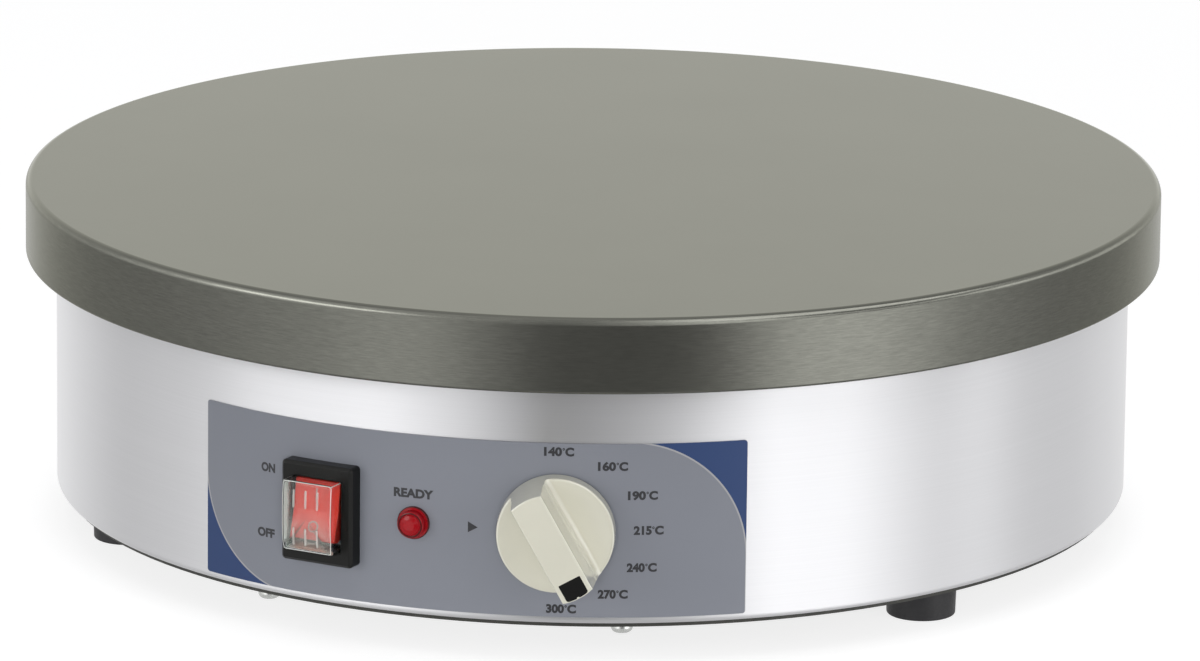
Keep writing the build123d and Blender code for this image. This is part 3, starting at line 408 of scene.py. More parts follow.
# ================================================================ materials
def new_material(name, **constants):
    """Material with its tree, its shader and object coordinates. Constants go on the shader's sockets."""
    material = bpy.data.materials.get(name) or bpy.data.materials.new(name)
    material.use_nodes = True
    tree = material.node_tree
    tree.nodes.clear()
    shader = add(tree, "ShaderNodeBsdfPrincipled")
    add(tree, "ShaderNodeOutputMaterial", {0: shader.outputs[0]})
    plug(tree, shader, {key.replace("_", " "): value for key, value in constants.items()})
    return material, tree, shader, add(tree, "ShaderNodeTexCoord").outputs["Object"]


def bump(tree, shader, height, depth, strength=1.0):
    """Drives the shader's normal by a height field, whose full swing is depth metres."""
    made = add(tree, "ShaderNodeBump", {"Height": height, "Distance": depth, "Strength": strength})
    plug(tree, shader, {"Normal": made.outputs[0]})


def mottled(tree, here, colour, scale, amount):
    """Output of a colour with slow lighter and darker areas."""
    return use(tree, MOTTLE, Vector=here, Color=(*colour, 1), Scale=scale, Amount=amount)[0]


def paint(tree, shader, here, colour, scale, amount):
    """Base colour with slow lighter and darker areas."""
    plug(tree, shader, {"Base Color": mottled(tree, here, colour, scale, amount)})


def skin(tree, shader, here, scale, depth, rough=None, spread=(0.2, 1.0)):
    """Fine grain in the normal. Where rough is given, the roughness goes from its first to its second."""
    height = use(tree, GRAIN, Vector=here, Scale=scale)[0]
    if rough:
        plug(tree, shader, {"Roughness": ramp(tree, height, *spread, *rough)})
    bump(tree, shader, height, depth)


def panel_place(tree, here, azimuth):
    """Outputs of the distance to the right on the panel plane at the azimuth, and of the height."""
    x, y, z = apart(tree, here)
    a = math.radians(azimuth)
    return weighed(tree, x, math.cos(a), y, math.sin(a)), z


edge_wear = 1.15             # brightness of the plate's rounded edge against its rim
face_tone = 0.60             # and of its seasoned face


def under_top(depth):
    """Height at a depth under the plate's top, in metres."""
    return (plate_top - depth) * MM


def griddle_iron():
    """Turned cast iron: a seasoned face with concentric lines, a worn bright edge and a duller rim."""
    material, tree, shader, here = new_material(
        "griddle_iron", Metallic=1.0, Specular_Tint=(0.80, 0.80, 0.745, 1.0))
    x, y, z = apart(tree, here)
    inwards = maths(tree, "SUBTRACT", hypotenuse(tree, x, y), z)
    path = add(tree, "ShaderNodeCombineXYZ", {0: x, 1: y, 2: inwards}).outputs[0]
    lines, patches = use(tree, STREAKS, Vector=path, Along=200.0, Across=2600.0, Patch=14.0)
    face = ramp(tree, z, under_top(1.0), under_top(0.05))
    worn = ramp(tree, z, under_top(2.6), under_top(1.8), 1.0, edge_wear)
    seasoned = ramp(tree, z, under_top(1.3), under_top(0.02), 1.0, face_tone / edge_wear)
    lined = about(tree, lines, ramp(tree, face, 0, 1, 0.75, 0.08, smooth=False))
    tone = maths(tree, "MULTIPLY", lined, maths(tree, "MULTIPLY", worn, seasoned))
    iron = mottled(tree, here, (0.143, 0.144, 0.127), 22.0, 0.08)
    dull = ramp(tree, face, 0, 1, 0.25, 0.12, smooth=False)
    plug(tree, shader, {"Base Color": toned(tree, iron, tone), "Roughness": about(tree, patches, 0.08, dull)})
    bump(tree, shader, lines, 0.000012, 0.6)
    return material


def brushed_stainless():
    """Stainless sheet with its brush lines round the drum: light spreads up and down, across the lines."""
    material, tree, shader, here = new_material(
        "brushed_stainless", Metallic=1.0, Anisotropic=0.92, Anisotropic_Rotation=0.25)
    lines = use(tree, STREAKS, Vector=here, Along=9.0, Across=2200.0, Patch=7.0)["Lines"]
    plug(tree, shader, {
        "Tangent": add(tree, "ShaderNodeTangent", direction_type="RADIAL", axis="Z").outputs[0],
        "Base Color": toned(tree, (0.66, 0.66, 0.675, 1), about(tree, lines, 0.10)),
        "Roughness": maths(tree, "MULTIPLY_ADD", lines, 0.10, 0.30),
    })
    bump(tree, shader, lines, 0.000006, 0.5)
    return material


def base_steel():
    """Base plate: sheet, a little scuffed, near-black in colour. Its darkness is painted shade, standing in
    for the shadow under the drum.
    """
    material, tree, shader, here = new_material("base_steel", Metallic=0.6)
    # painted shade: a near-black sheet colour for the plate that lies in the drum's shadow
    paint(tree, shader, here, (0.055, 0.055, 0.05), 40.0, 0.35)
    skin(tree, shader, here, 900.0, 0.00003, (0.42, 0.6), spread=(0.3, 0.9))
    return material


def zinc(name, colour, scale, roughness):
    """Zinc-plated steel with its spangle."""
    material, tree, shader, here = new_material(name, Metallic=1.0)
    shade = use(tree, CRYSTALS, Vector=here, Scale=scale)[0]
    plug(tree, shader, {
        "Base Color": toned(tree, (*colour, 1), ramp(tree, shade, 0, 1, 0.82, 1.08, smooth=False)),
        "Roughness": ramp(tree, shade, 0, 1, roughness, roughness + 0.12),
    })
    return material


def metal(name, colour, roughness, scale=900.0):
    """Plain metal with fine drawing lines."""
    material, tree, shader, here = new_material(name, Metallic=1.0)
    paint(tree, shader, here, colour, 120.0, 0.12)
    lines = use(tree, STREAKS, Vector=here, Along=60.0, Across=scale, Patch=50.0)["Lines"]
    plug(tree, shader, {"Roughness": ramp(tree, lines, 0.3, 0.7, roughness - 0.06, roughness + 0.08)})
    bump(tree, shader, lines, 0.00001)
    return material


def element_sheath():
    """Heating element: nickel alloy with brown and blue heat tints."""
    material, tree, shader, here = new_material("element_sheath", Metallic=0.9, Roughness=0.42)
    heat = ramp(tree, noise(tree, here, 35.0), 0.35, 0.65)
    tint = blend_colour(tree, heat, (0.20, 0.165, 0.12, 1), (0.17, 0.175, 0.18, 1))
    plug(tree, shader, {"Base Color": tint})
    skin(tree, shader, here, 1500.0, 0.00002)
    return material


def insulation_fibre():
    """Mineral fibre blanket: matted off-white threads."""
    material, tree, shader, here = new_material("insulation_fibre", Roughness=1.0)
    paint(tree, shader, here, (0.66, 0.62, 0.52), 60.0, 0.25)
    threads = use(tree, STREAKS, Vector=here, Along=90.0, Across=1300.0, Patch=200.0)["Lines"]
    bump(tree, shader, threads, 0.0006)
    return material


def moulded(name, colour, roughness, scale=2200.0, depth=0.00001, patch=80.0, amount=0.05, swing=0.05,
            **constants):
    """Moulded plastic or rubber: its colour with faint flow marks and a fine skin."""
    material, tree, shader, here = new_material(name, **constants)
    paint(tree, shader, here, colour, patch, amount)
    skin(tree, shader, here, scale, depth, (roughness - swing, roughness + swing))
    return material


corner_arc_left = (arc_length(label_left) + 38.7, label_bottom + 37.4, 38.75)    # along, height, radius
corner_arc_right = (arc_length(label_right) - 41.4, label_top - 40.8, 41.4)
corner_line = 0.55           # pale line between the grey and the blue
label_blue, label_pale = (0.030, 0.056, 0.146, 1), (0.36, 0.36, 0.37, 1)


def label_film():
    """Printed film: grey with a blue corner at the lower left and the upper right.

    The label's own coordinates are millimetres along and up. A corner is where both coordinates lie
    past the arc's centre and the distance to that centre is more than its radius.
    """
    material, tree, shader, here = new_material("label_film", Roughness=0.36, Specular_IOR_Level=0.25)
    along, up, _ = apart(tree, add(tree, "ShaderNodeUVMap", uv_map="print").outputs[0])
    blue, pale = [], []
    for (centre_along, centre_up, radius), side in ((corner_arc_left, -1), (corner_arc_right, 1)):
        reach = []
        for place, centre in ((along, centre_along), (up, centre_up)):
            outwards = maths(tree, "MULTIPLY", maths(tree, "SUBTRACT", place, centre), side)
            reach.append(maths(tree, "MAXIMUM", outwards, 0.0))
        past = maths(tree, "SUBTRACT", hypotenuse(tree, *reach), radius)
        blue.append(maths(tree, "GREATER_THAN", past, 0.0))
        pale.append(maths(tree, "LESS_THAN", maths(tree, "ABSOLUTE", past), corner_line / 2))
    grey = mottled(tree, here, (0.208, 0.218, 0.248), 30.0, 0.03)
    # painted light: the grey is made a little lighter towards the label's foot and darker towards its top
    ground = toned(tree, grey, ramp(tree, up, label_bottom, label_top, 1.06, 0.98, smooth=False))
    inked = blend_colour(tree, maths(tree, "MAXIMUM", *blue), ground, label_blue)
    lined = blend_colour(tree, maths(tree, "MAXIMUM", *pale), inked, label_pale)
    plug(tree, shader, {"Base Color": lined})
    skin(tree, shader, here, 2500.0, 0.000004)
    return material


def print_ink():
    """Dark grey printing ink, slightly uneven."""
    material, tree, shader, here = new_material("print_ink", Roughness=0.5)
    paint(tree, shader, here, (0.02, 0.02, 0.023), 300.0, 0.15)
    return material


def clear_plastic():
    """Soft clear plastic of the splash cap, with a faint haze."""
    material, tree, shader, here = new_material(
        "clear_plastic", Metallic=0.0, Transmission_Weight=1.0, IOR=1.3)
    paint(tree, shader, here, (0.93, 0.96, 0.94), 60.0, 0.02)
    plug(tree, shader, {"Roughness": ramp(tree, noise(tree, here, 140.0), 0.3, 0.7, 0.04, 0.10)})
    return material


def cap_haze():
    """Milky veil inside the splash cap's front: a faint film, thicker towards its foot, with painted light on
    it: paler and denser at the cap's left side and its foot, where the walls catch light, and a painted red
    glow at the foot.
    """
    material, tree, shader, here = new_material("cap_haze", Roughness=0.5, Specular_IOR_Level=0.0)
    right, z = panel_place(tree, here, switch_azimuth)

    def below(low, high, most, least):
        """From most to least between two heights over the cap's middle, in millimetres."""
        return ramp(tree, z, (control_height + low) * MM, (control_height + high) * MM, most, least)

    # painted light: a red glow at the foot, and a paler, denser veil at the left side and the foot, standing
    # in for the light the cap's walls catch
    warm = maths(tree, "MULTIPLY", below(-10.0, -7.5, 1.0, 0.0), ramp(tree, right, -8.5 * MM, -4.0 * MM))
    left_painted_light = ramp(tree, right, -8.0 * MM, -6.2 * MM, 0.34, 0.0)
    foot_painted_light = below(-12.0, -8.5, 0.45, 0.0)
    film = below(-9.0, 5.0, 0.17, 0.04)
    plug(tree, shader, {
        "Base Color": blend_colour(tree, warm, (0.78, 0.80, 0.76, 1), (0.80, 0.52, 0.45, 1)),
        "Alpha": maths(tree, "MAXIMUM", maths(tree, "MAXIMUM", left_painted_light, foot_painted_light), film),
    })
    return material


lens_groove, lens_edge = (3.75, 4.35), 5.35      # radii where shade is painted on the lens: its groove, and its edge


def lamp_red():
    """Deep red lens, with painted shade: a near-black ring in the groove round its dome and at its edge."""
    material, tree, shader, here = new_material("lamp_red", Roughness=0.1, Specular_IOR_Level=0.22)
    right, z = panel_place(tree, here, lamp_azimuth)
    away = hypotenuse(tree, right, maths(tree, "SUBTRACT", z, control_height * MM))
    # painted shade: near-black red in the groove round the dome and at the lens's edge, where shade falls
    groove = within(tree, away, lens_groove[0] * MM, lens_groove[1] * MM, 0.15 * MM)
    edge = ramp(tree, away, (lens_edge - 0.1) * MM, (lens_edge + 0.1) * MM)
    dark = maths(tree, "MULTIPLY", maths(tree, "MAXIMUM", groove, edge), 0.85)
    red = mottled(tree, here, (0.32, 0.001, 0.006), 300.0, 0.12)
    plug(tree, shader, {"Base Color": blend_colour(tree, dark, red, (0.03, 0.004, 0.004, 1))})
    return material


def rocker_red():
    """Red moulded plastic, with painted shade: the rocker's two sides are a darker red, standing in for the
    shade inside the cap.
    """
    material, tree, shader, here = new_material("red_plastic", Roughness=0.3, Specular_IOR_Level=0.25)
    right, _ = panel_place(tree, here, switch_azimuth)
    # painted shade: a darker red on the rocker's two sides, where the cap shades it
    side = ramp(tree, maths(tree, "ABSOLUTE", right), 8.25 * MM, 8.55 * MM)
    red = mottled(tree, here, (0.60, 0.022, 0.010), 80.0, 0.05)
    plug(tree, shader, {"Base Color": blend_colour(tree, side, red, (0.24, 0.010, 0.005, 1))})
    skin(tree, shader, here, 2200.0, 0.00001)
    return material


finishes = {
    "griddle_iron": griddle_iron(),
    "brushed_stainless": brushed_stainless(),
    "base_steel": base_steel(),
    "zinc_sheet": zinc("zinc_sheet", (0.56, 0.58, 0.59), 180.0, 0.28),
    "zinc_screws": zinc("zinc_screws", (0.70, 0.71, 0.69), 900.0, 0.16),
    "element_sheath": element_sheath(),
    "insulation_fibre": insulation_fibre(),
    "foot_rubber": moulded("foot_rubber", (0.018, 0.0175, 0.019), 0.52, scale=1800.0, depth=0.00003,
                           patch=120.0, amount=0.3, swing=0.10, Specular_IOR_Level=0.45),
    "label_film": label_film(),
    "print_ink": print_ink(),
    "black_plastic": moulded("black_plastic", (0.005, 0.005, 0.0045), 0.3, Specular_IOR_Level=0.2),
    "gland_plastic": moulded("gland_plastic", (0.022, 0.022, 0.024), 0.42, scale=1400.0, depth=0.00003),
    "clear_plastic": clear_plastic(),
    # painted highlight: the ribs are a pale, partly clear white, standing in for the light they catch
    "cap_rib_painted_highlight": moulded("cap_rib_painted_highlight", (0.80, 0.78, 0.74), 0.2, Alpha=0.34),
    # painted highlight: pale, mostly opaque white for the beads that stand in for the light the cap's edges
    # catch
    "cap_painted_highlight": moulded("cap_painted_highlight", (0.80, 0.81, 0.78), 0.2, Alpha=0.75),
    "cap_haze": cap_haze(),
    "red_plastic": rocker_red(),
    "mark_grey": moulded("mark_grey", (0.24, 0.18, 0.17), 0.3),
    "lamp_red": lamp_red(),
    "ivory_plastic": moulded("ivory_plastic", (0.65, 0.635, 0.53), 0.17, Specular_IOR_Level=0.9,
                             Coat_Weight=0.7, Coat_Roughness=0.12, Coat_IOR=1.7),
    "thermostat_plastic": moulded("thermostat_plastic", (0.035, 0.02, 0.014), 0.45),
    "cream_plastic": moulded("cream_plastic", (0.68, 0.60, 0.45), 0.5),
    "brass": metal("brass", (0.72, 0.52, 0.22), 0.28),
    "copper": metal("copper", (0.72, 0.36, 0.22), 0.3),
}


# ================================================================ griddle plate and drum
plate_thickness = 14.0
rim_wall = 7.0
groove_radius = 4.3
groove_circles = (145.0, 85.0)


def griddle_plate():
    """Plate: its section turned round Z. Two half-round grooves under it hold the elements."""
    under = plate_top - plate_thickness
    inner = plate_radius - rim_wall
    outside = rounded(
        [
            (0, plate_top, 0),
            (plate_radius, plate_top, 2.5),
            (plate_radius, rim_bottom, 1.0),
            (inner, rim_bottom, 1.0),
            (inner, under, 5.0),
            (groove_circles[0] + groove_radius + 1, under, 0),
        ],
        closed=False, steps=12,
    )
    angle = np.linspace(0, math.pi, 13)
    half_round = groove_radius * np.stack([np.cos(angle), np.sin(angle)], -1)
    grooves = [half_round + (circle, under) for circle in groove_circles]
    section = np.vstack([outside, *grooves, (0, under)])
    make_piece("plate_casting", [grid(turned(section, 320))], "griddle_iron", ["griddle_plate"])


def drum():
    """Drum: one folded sheet, its section turned round Z, with a flange above and one below."""
    sheet, top_flange, bottom_flange = 1.0, 24.0, 13.0
    inside = drum_radius - sheet
    section = rounded(
        [
            (drum_radius - top_flange, drum_top, 0),
            (drum_radius, drum_top, 2.0),
            (drum_radius, drum_bottom, 2.0),
            (drum_radius - bottom_flange, drum_bottom, 0),
            (drum_radius - bottom_flange, drum_bottom + sheet, 0),
            (inside, drum_bottom + sheet, 1.0),
            (inside, drum_top - sheet, 1.0),
            (drum_radius - top_flange, drum_top - sheet, 0),
        ],
    )
    surface = grid(turned(section, 320), loop_rows=True)
    make_piece("drum_sheet", [surface], "brushed_stainless", ["housing_shell"])


# ================================================================ label and its printed marks
def label():
    """Label: a thin curved sheet. Near its ends its height shrinks as the corner circles ask."""
    left, right, corner = arc_length(label_left), arc_length(label_right), 1.2
    ends = corner * (1 - np.cos(np.linspace(0, math.pi / 2, 7)))
    between = np.linspace(left + 2 * corner, right - 2 * corner, 150)
    along = np.concatenate([left + ends, between, (right - ends)[::-1]])
    from_end = np.minimum(np.minimum(along - left, right - along), corner)
    cut = corner - np.sqrt(np.maximum(corner**2 - (corner - from_end)**2, 0))
    half_thick = np.where(from_end > 0, label_thickness / 2, 0)
    share = np.linspace(0, 1, 20)[:, None]
    height = (label_bottom + cut) + share * (label_top - label_bottom - 2 * cut)
    front, back = (
        np.stack(np.broadcast_arrays(along, height, side * half_thick - label_thickness / 2), -1)
        for side in (1, -1)
    )
    loop = np.concatenate([front, back[::-1]], 0).transpose(1, 0, 2)
    piece = make_piece("printed_label", [grid(on_label(loop))], "label_film", ["control_label"])
    mesh = piece.data
    places = points_of(mesh) / MM
    corners = np.empty(len(mesh.loops), int)
    mesh.loops.foreach_get("vertex_index", corners)
    flat = np.stack([np.arctan2(places[:, 0], -places[:, 1]) * face_radius, places[:, 2]], -1)
    mesh.uv_layers.new(name="print").data.foreach_set("uv", flat[corners].ravel())


ink_root, ink_lift = -0.02, 0.03     # the ink's underside and its top, over the label


def font_shapes(text, extrude=0.0, offset=0.0):
    """Text in the built-in font at size 1: its points and its faces."""
    curve = bpy.data.curves.new("letters", "FONT")
    curve.body, curve.extrude, curve.offset, curve.resolution_u = text, extrude, offset, 4
    maker = add_object("letters", curve)
    mesh = bpy.data.meshes.new_from_object(maker)
    bpy.data.objects.remove(maker)
    return points_of(mesh), [list(face.vertices) for face in mesh.polygons]


cap_unit = np.ptp(font_shapes("H")[0][:, 1])     # height of a capital in that font


def letter_shapes(text, left, width, foot, cap_height):
    """Solid letters, scaled to a width and a cap height: their points and their faces."""
    points, faces = font_shapes(text, extrude=0.5, offset=0.05)
    low, high = points.min(0), points.max(0)
    points[:, 0] = left + (points[:, 0] - low[0]) / (high[0] - low[0]) * width
    points[:, 1] = foot + points[:, 1] / cap_unit * cap_height
    points[:, 2] = np.where(points[:, 2] > 0, ink_lift, ink_root)
    return points, faces


def lettering(name, parts, along, height):
    """Thin solid print on the label. A part is a text with its left end, width, foot and cap height."""
    places, faces, count = [], [], 0
    for part in parts:
        points, shapes = letter_shapes(*part)
        places.append(points + np.array([along, height, 0]))
        faces += [[corner + count for corner in face] for face in shapes]
        count += len(points)
    mesh = bpy.data.meshes.new(name)
    mesh.from_pydata(on_label(np.vstack(places)) * MM, [], faces)
    dress(add_object(name, mesh), "print_ink", "machine")


# A dial number with its place to the right of and above the knob's axis.
dial = [(140, 0.7, 27.8), (160, 18.9, 22.9), (190, 29.1, 12.7), (215, 31.2, 0.5),
        (240, 29.0, -12.5), (270, 19.3, -21.8), (300, 1.9, -27.1)]
# Left end, width, foot and cap height of its digits, its degree ring and its unit.
digits_size, degree_size, unit_size = (-5.1, 6.1, -1.35, 2.7), (1.15, 0.8, 0.55, 1.1), (2.05, 3.0, -1.35, 2.7)


# A word with its left end, its width, its azimuth and its height over the floor.
words = [("ON", -2.9, 5.8, -18.39, 58.3), ("OFF", -3.6, 7.2, -18.63, 35.2),
         ("READY", -7.3, 14.2, lamp_azimuth, 56.7)]
word_size = (-1.4, 2.8)      # foot and cap height


def printed_words():
    """Dial numbers round the knob, the switch's two states and the lamp's word."""
    for number, right, up in dial:
        parts = [(str(number), *digits_size), ("o", *degree_size), ("C", *unit_size)]
        lettering(f"dial_{number}", parts, arc_length(knob_azimuth) + right, control_height + up)
    for word, left, width, azimuth, height in words:
        lettering(f"word_{word.lower()}", [(word, left, width, *word_size)], arc_length(azimuth), height)


def printed_pointer():
    """Triangle beside the dial, as a thin prism on the label."""
    centre, half = arc_length(4.85), 1.7
    corners = np.array([(centre + half, 46.7), (centre - half, 48.6), (centre - half, 44.8)])
    t = np.linspace(0, 1, 6, endpoint=False)[:, None]
    outline = np.vstack([corners[i] + t * (corners[(i + 1) % 3] - corners[i]) for i in range(3)])
    prism = grid(on_label(capped([level(outline, ink_root), level(outline, ink_lift)])))
    make_piece("dial_pointer", [prism], "label_film", finish="print_ink")


# ================================================================ main switch
bezel_width, bezel_height, bezel_depth, bezel_corner = 27.5, 35.0, 5.4, 1.4
cap_width, cap_height, cap_wall = 19.2, 25.0, 0.6
cap_front = 12.2
cap_bulge = 0.7
cap_foot = 1.0
cap_corner = 0.9
bead = 0.16                  # radius of the pale beads painted as highlights along the cap's edges
rib_width, rib_length = 0.8, 6.3
rib_places = [(right, up) for right in (-5.0, -0.4, 4.2) for up in (-6.6, 6.6)]


def behind_panel(right):
    """How far the label's face falls behind the panel plane at a distance to the side."""
    return face_radius - np.sqrt(face_radius**2 - right**2)


def bulged(front, up, height=cap_height):
    """Lift of a front that falls by bulge * (2 up / height)^2 from its middle."""
    return front - cap_bulge * (2 * up / height)**2


def switch_bezel():
    """Bezel: rounded rectangles from the label up its side, over its bevelled front and down inside."""
    chamfer, edge, fit = 1.0, 0.22, 0.1
    profile = rounded(
        [(0, 0, 0), (0, bezel_depth - chamfer, edge), (chamfer, bezel_depth, edge), (3.0, bezel_depth, 0)],
        closed=False, steps=4,
    )
    rows = []
    for shrink, lift in profile:
        corner = bezel_corner - min(shrink, 0.8)
        outline = rounded_rectangle(bezel_width - 2 * shrink, bezel_height - 2 * shrink, corner)
        rows.append(level(outline, lift - behind_panel(outline[:, 0]) * (lift == 0)))
    lip = rounded([(-0.6, bezel_depth, 0), (0, bezel_depth, edge), (0, 1.8, 0)], closed=False, steps=4)
    for shrink, lift in lip:
        outline = rounded_rectangle(cap_width + fit - 2 * shrink, cap_height + fit - 2 * shrink, 0.8)
        rows.append(level(outline, lift))
    rows.append(level(outline, -behind_panel(outline[:, 0])))
    surface = grid(on_panel(rows, switch_azimuth), loop_rows=True)
    make_piece("bezel_frame", [surface], "black_plastic", ["switch_bezel"])


def cap_rows(width, height, front, side_round, bottom_round):
    """Rows of the cap's skin from its foot to the middle of its front, which bulges.

    Where the skin turns from the walls to the front, a row at angle a lies round * (1 - cos a) inside
    the outline and round * (1 - sin a) below the front. The round is larger along the bottom.
    """
    base = rounded_rectangle(width, height, cap_corner, side_steps=10)
    low = np.clip(-base[:, 1] / (height / 2), 0, 1)**8
    round_off = (side_round + (bottom_round - side_round) * low)[:, None]
    size = np.array([width, height])
    share = base / (size / 2)
    inward = np.where(np.abs(share) > 1 - 2 * cap_corner / size, np.sign(share), 0)
    rows = [level(base, cap_foot)]
    for angle in np.radians([0, 15, 30, 45, 60, 75, 90]):
        outline = base - inward * round_off * (1 - math.cos(angle))
        drop = round_off[:, 0] * (1 - math.sin(angle))
        rows.append(level(outline, bulged(front, outline[:, 1], height) - drop))
    flat = base - inward * round_off
    return rows + [level(flat * scale, bulged(front, flat[:, 1] * scale, height))
                   for scale in (0.97, 0.8, 0.6, 0.4, 0.2, 0.0)]


def splash_cap():
    """Cap: an outer skin from foot to front and an inner one back to the foot."""
    outer = cap_rows(cap_width, cap_height, cap_front, 0.7, 2.4)
    inner = cap_rows(cap_width - 2 * cap_wall, cap_height - 2 * cap_wall, cap_front - cap_wall, 0.4, 1.9)
    surface = grid(on_panel(outer + inner[::-1], switch_azimuth), loop_rows=True)
    make_piece("cap_skin", [surface], "clear_plastic", ["switch_splash_cap"])
    cap_ribs()
    cap_beads(outer[4])
    cap_veil()


def cap_ribs():
    """Three ribs above and three below on the cap's front, each a stack of shrinking rounded bars, in a pale
    half-clear finish that is a painted highlight for the light they catch.
    """
    ribs = []
    for place in rib_places:
        rows = []
        for shrink, lift in ((0, -0.25), (0, 0.1), (0.12, 0.27), (0.3, 0.34)):
            outline = place + rounded_rectangle(
                rib_width - 2 * shrink, rib_length - 2 * shrink, 0.39 - shrink, arc_steps=4, side_steps=6)
            rows.append(level(outline, bulged(cap_front, outline[:, 1]) + lift))
        ribs.append(grid(on_panel(capped(rows), switch_azimuth)))
    make_piece("cap_ribs", ribs, "clear_plastic", finish="cap_rib_painted_highlight")


def cap_beads(edge):
    """Painted highlights along the cap's edges: a pale bead round its front, a tube about one of its rows,
    and a rod in its two upper corners.
    """
    outline, lift = edge[:, :2], edge[:, 2]
    turn = np.linspace(0, FULL_TURN, 8, endpoint=False)
    loops = [level(inset(outline, 0.1 - bead * math.cos(t)), lift + bead * math.sin(t)) for t in turn]
    beads = [grid(on_panel(loops, switch_azimuth), loop_rows=True)]
    top = cap_front - 1.0
    rod = turned(np.array([(0, bezel_depth), (bead, bezel_depth), (bead, top), (0, top)]), 8)
    for side in (-1, 1):
        corner = np.array([side * (cap_width / 2 - 0.32), cap_height / 2 - 0.32, 0])
        beads.append(grid(on_panel(rod + corner, switch_azimuth)))
    make_piece("cap_beads", beads, "clear_plastic", finish="cap_painted_highlight")


def cap_veil():
    """Thin veil just behind the cap's front, set back at its foot where the front is rounded. It carries the
    cap's haze and its painted light.
    """
    veil = rounded_rectangle(cap_width - 1.4, cap_height - 1.4, 0.5)
    front = bulged(cap_front - 0.3, veil[:, 1]) - 1.6 * (veil[:, 1] < -cap_height / 2 + 1.5)
    rows = capped([level(veil, front - 0.1), level(veil, front + 0.1)])
    make_piece("cap_veil", [grid(on_panel(rows, switch_azimuth))], "clear_plastic", finish="cap_haze")


rocker_width, rocker_half_length = 17.2, 10.2
rocker_front, rocker_v, rocker_tilt = 7.3, math.tan(math.radians(4.0)), math.radians(12.0)
rocker_edge, tip_height, tip_round = 0.5, 2.5, 0.6
rocker_root = (5.5, -4.5)    # half length of its inner end, and how far in it lies
pivot_depth = 1.5
pin_radius, pin_half = 1.5, 9.6
mark_along, mark_height = 5.6, 0.03      # of the two marks from the pivot, and over the rocker's face


def on_rocker(points):
    """Rocker's (right, along, front) as (x, y, z): tilted about its pivot, behind the panel plane."""
    right, along, front = points[..., 0], points[..., 1], points[..., 2]
    up = along * math.cos(rocker_tilt) + front * math.sin(rocker_tilt)
    lift = front * math.cos(rocker_tilt) - along * math.sin(rocker_tilt) - pivot_depth
    return on_panel(np.stack([right, up, lift], -1), switch_azimuth)


def rocker():
    """Rocker: its V-shaped profile carried from side to side, shrunk towards the two end faces."""
    half, tip = rocker_half_length, rocker_front + rocker_half_length * rocker_v
    root, depth = rocker_root
    profile = rounded(
        [
            (root, depth, tip_round), (half, tip - tip_height, tip_round), (half, tip, tip_round),
            (0, rocker_front, 3.0),
            (-half, tip, tip_round), (-half, tip - tip_height, tip_round), (-root, depth, tip_round),
        ],
    )
    flat = rocker_width / 2 - rocker_edge
    rows = []
    angles = np.radians([0, 22.5, 45, 67.5, 90])
    for side, order in ((-1, angles), (1, angles[::-1])):
        for angle in order:
            outline = inset(profile, rocker_edge * (1 - math.sin(angle)))
            across = np.full(len(outline), side * (flat + rocker_edge * math.cos(angle)))
            rows.append(np.column_stack([across, outline]))
    section = [(0, -pin_half), (pin_radius, -pin_half), (pin_radius, pin_half), (0, pin_half)]
    pin = turned(np.array(section), 24)[..., [2, 0, 1]]
    surfaces = [grid(on_rocker(capped(rows))), grid(on_rocker(pin))]
    make_piece("rocker_button", surfaces, "red_plastic", ["switch_rocker"], body="rocker")


def rocker_marks():
    """Grey ring on the rocker's lower half and grey bar on its upper half, both just proud of its face."""
    ring = turned(np.array([(1.45, -1.0), (2.0, -1.0), (2.0, 1.0), (1.45, 1.0)]), 48)
    ring[..., 1] -= mark_along
    ring[..., 2] = rocker_front - ring[..., 1] * rocker_v + ring[..., 2] * mark_height
    bar = rounded_rectangle(0.55, 4.0, 0.1) + (0, mark_along)
    rows = [level(bar, rocker_front + bar[:, 1] * rocker_v + lift) for lift in (-mark_height, mark_height)]
    marks = [grid(on_rocker(ring), loop_rows=True), grid(on_rocker(capped(rows)))]
    make_piece("rocker_marks", marks, "red_plastic", body="rocker", finish="mark_grey")


# ================================================================ ready lamp
def lamp():
    """Lens: a flange, a step and a domed front with a ring round it, turned about the lamp's axis."""
    outline = rounded(
        [
            (0, -5.0, 0), (3.5, -5.0, 0), (3.5, 0, 0), (5.7, 0, 0), (5.7, 1.1, 0.4), (4.75, 1.1, 0.15),
            (4.75, 4.0, 0.9), (3.9, 4.2, 0.2), (3.6, 3.7, 0.2), (3.3, 4.4, 0.3), (2.0, 5.0, 1.5), (0, 5.2, 0),
        ],
        closed=False, steps=5, support=0.02,
    )
    make_piece("lens_dome", [grid(on_panel(turned(outline, 96), lamp_azimuth))], "lamp_red", ["lamp_lens"])


# ================================================================ control knob
pointer_turn = -60.8
knob_gap, skirt_base, skirt_face = 0.8, 20.2, 5.9
grip_front, grip_half_width = 23.48, 5.65
grip_proud = 0.02            # the bar's ends over the skirt's cone
foot_round, edge_round = 1.4, 0.4
bar_root = 2.0               # the bar starts this far over the label, inside the skirt
step_height, step_depth = 11.5, 0.25     # of a fine step along the bar's flanks
draft = math.tan(math.radians(2.9))
dish_depth, skirt_land = 1.4, 1.2


def cone_radius(lift):
    """Radius of the knob's drafted cone at a lift."""
    return skirt_base - (lift - knob_gap) * draft


def bar_outline(lift, shrink=0.0, flare=0.0):
    """Strip between two arcs: the half width grows by the draft and the flare, and shrinks inwards."""
    radius = cone_radius(lift) + grip_proud - shrink
    half = grip_half_width + (grip_front - lift) * draft - shrink + flare
    reach = math.sqrt(radius**2 - half**2)
    swing = math.asin(half / radius) * np.linspace(-1, 1, 25)
    end = radius * np.stack([np.cos(swing), np.sin(swing)], -1)
    side = np.stack([-reach * np.sin(np.linspace(-1, 1, 33) * math.pi / 2), np.full(33, half)], -1)
    return np.vstack([end, side[1:-1], -end, -side[1:-1]])


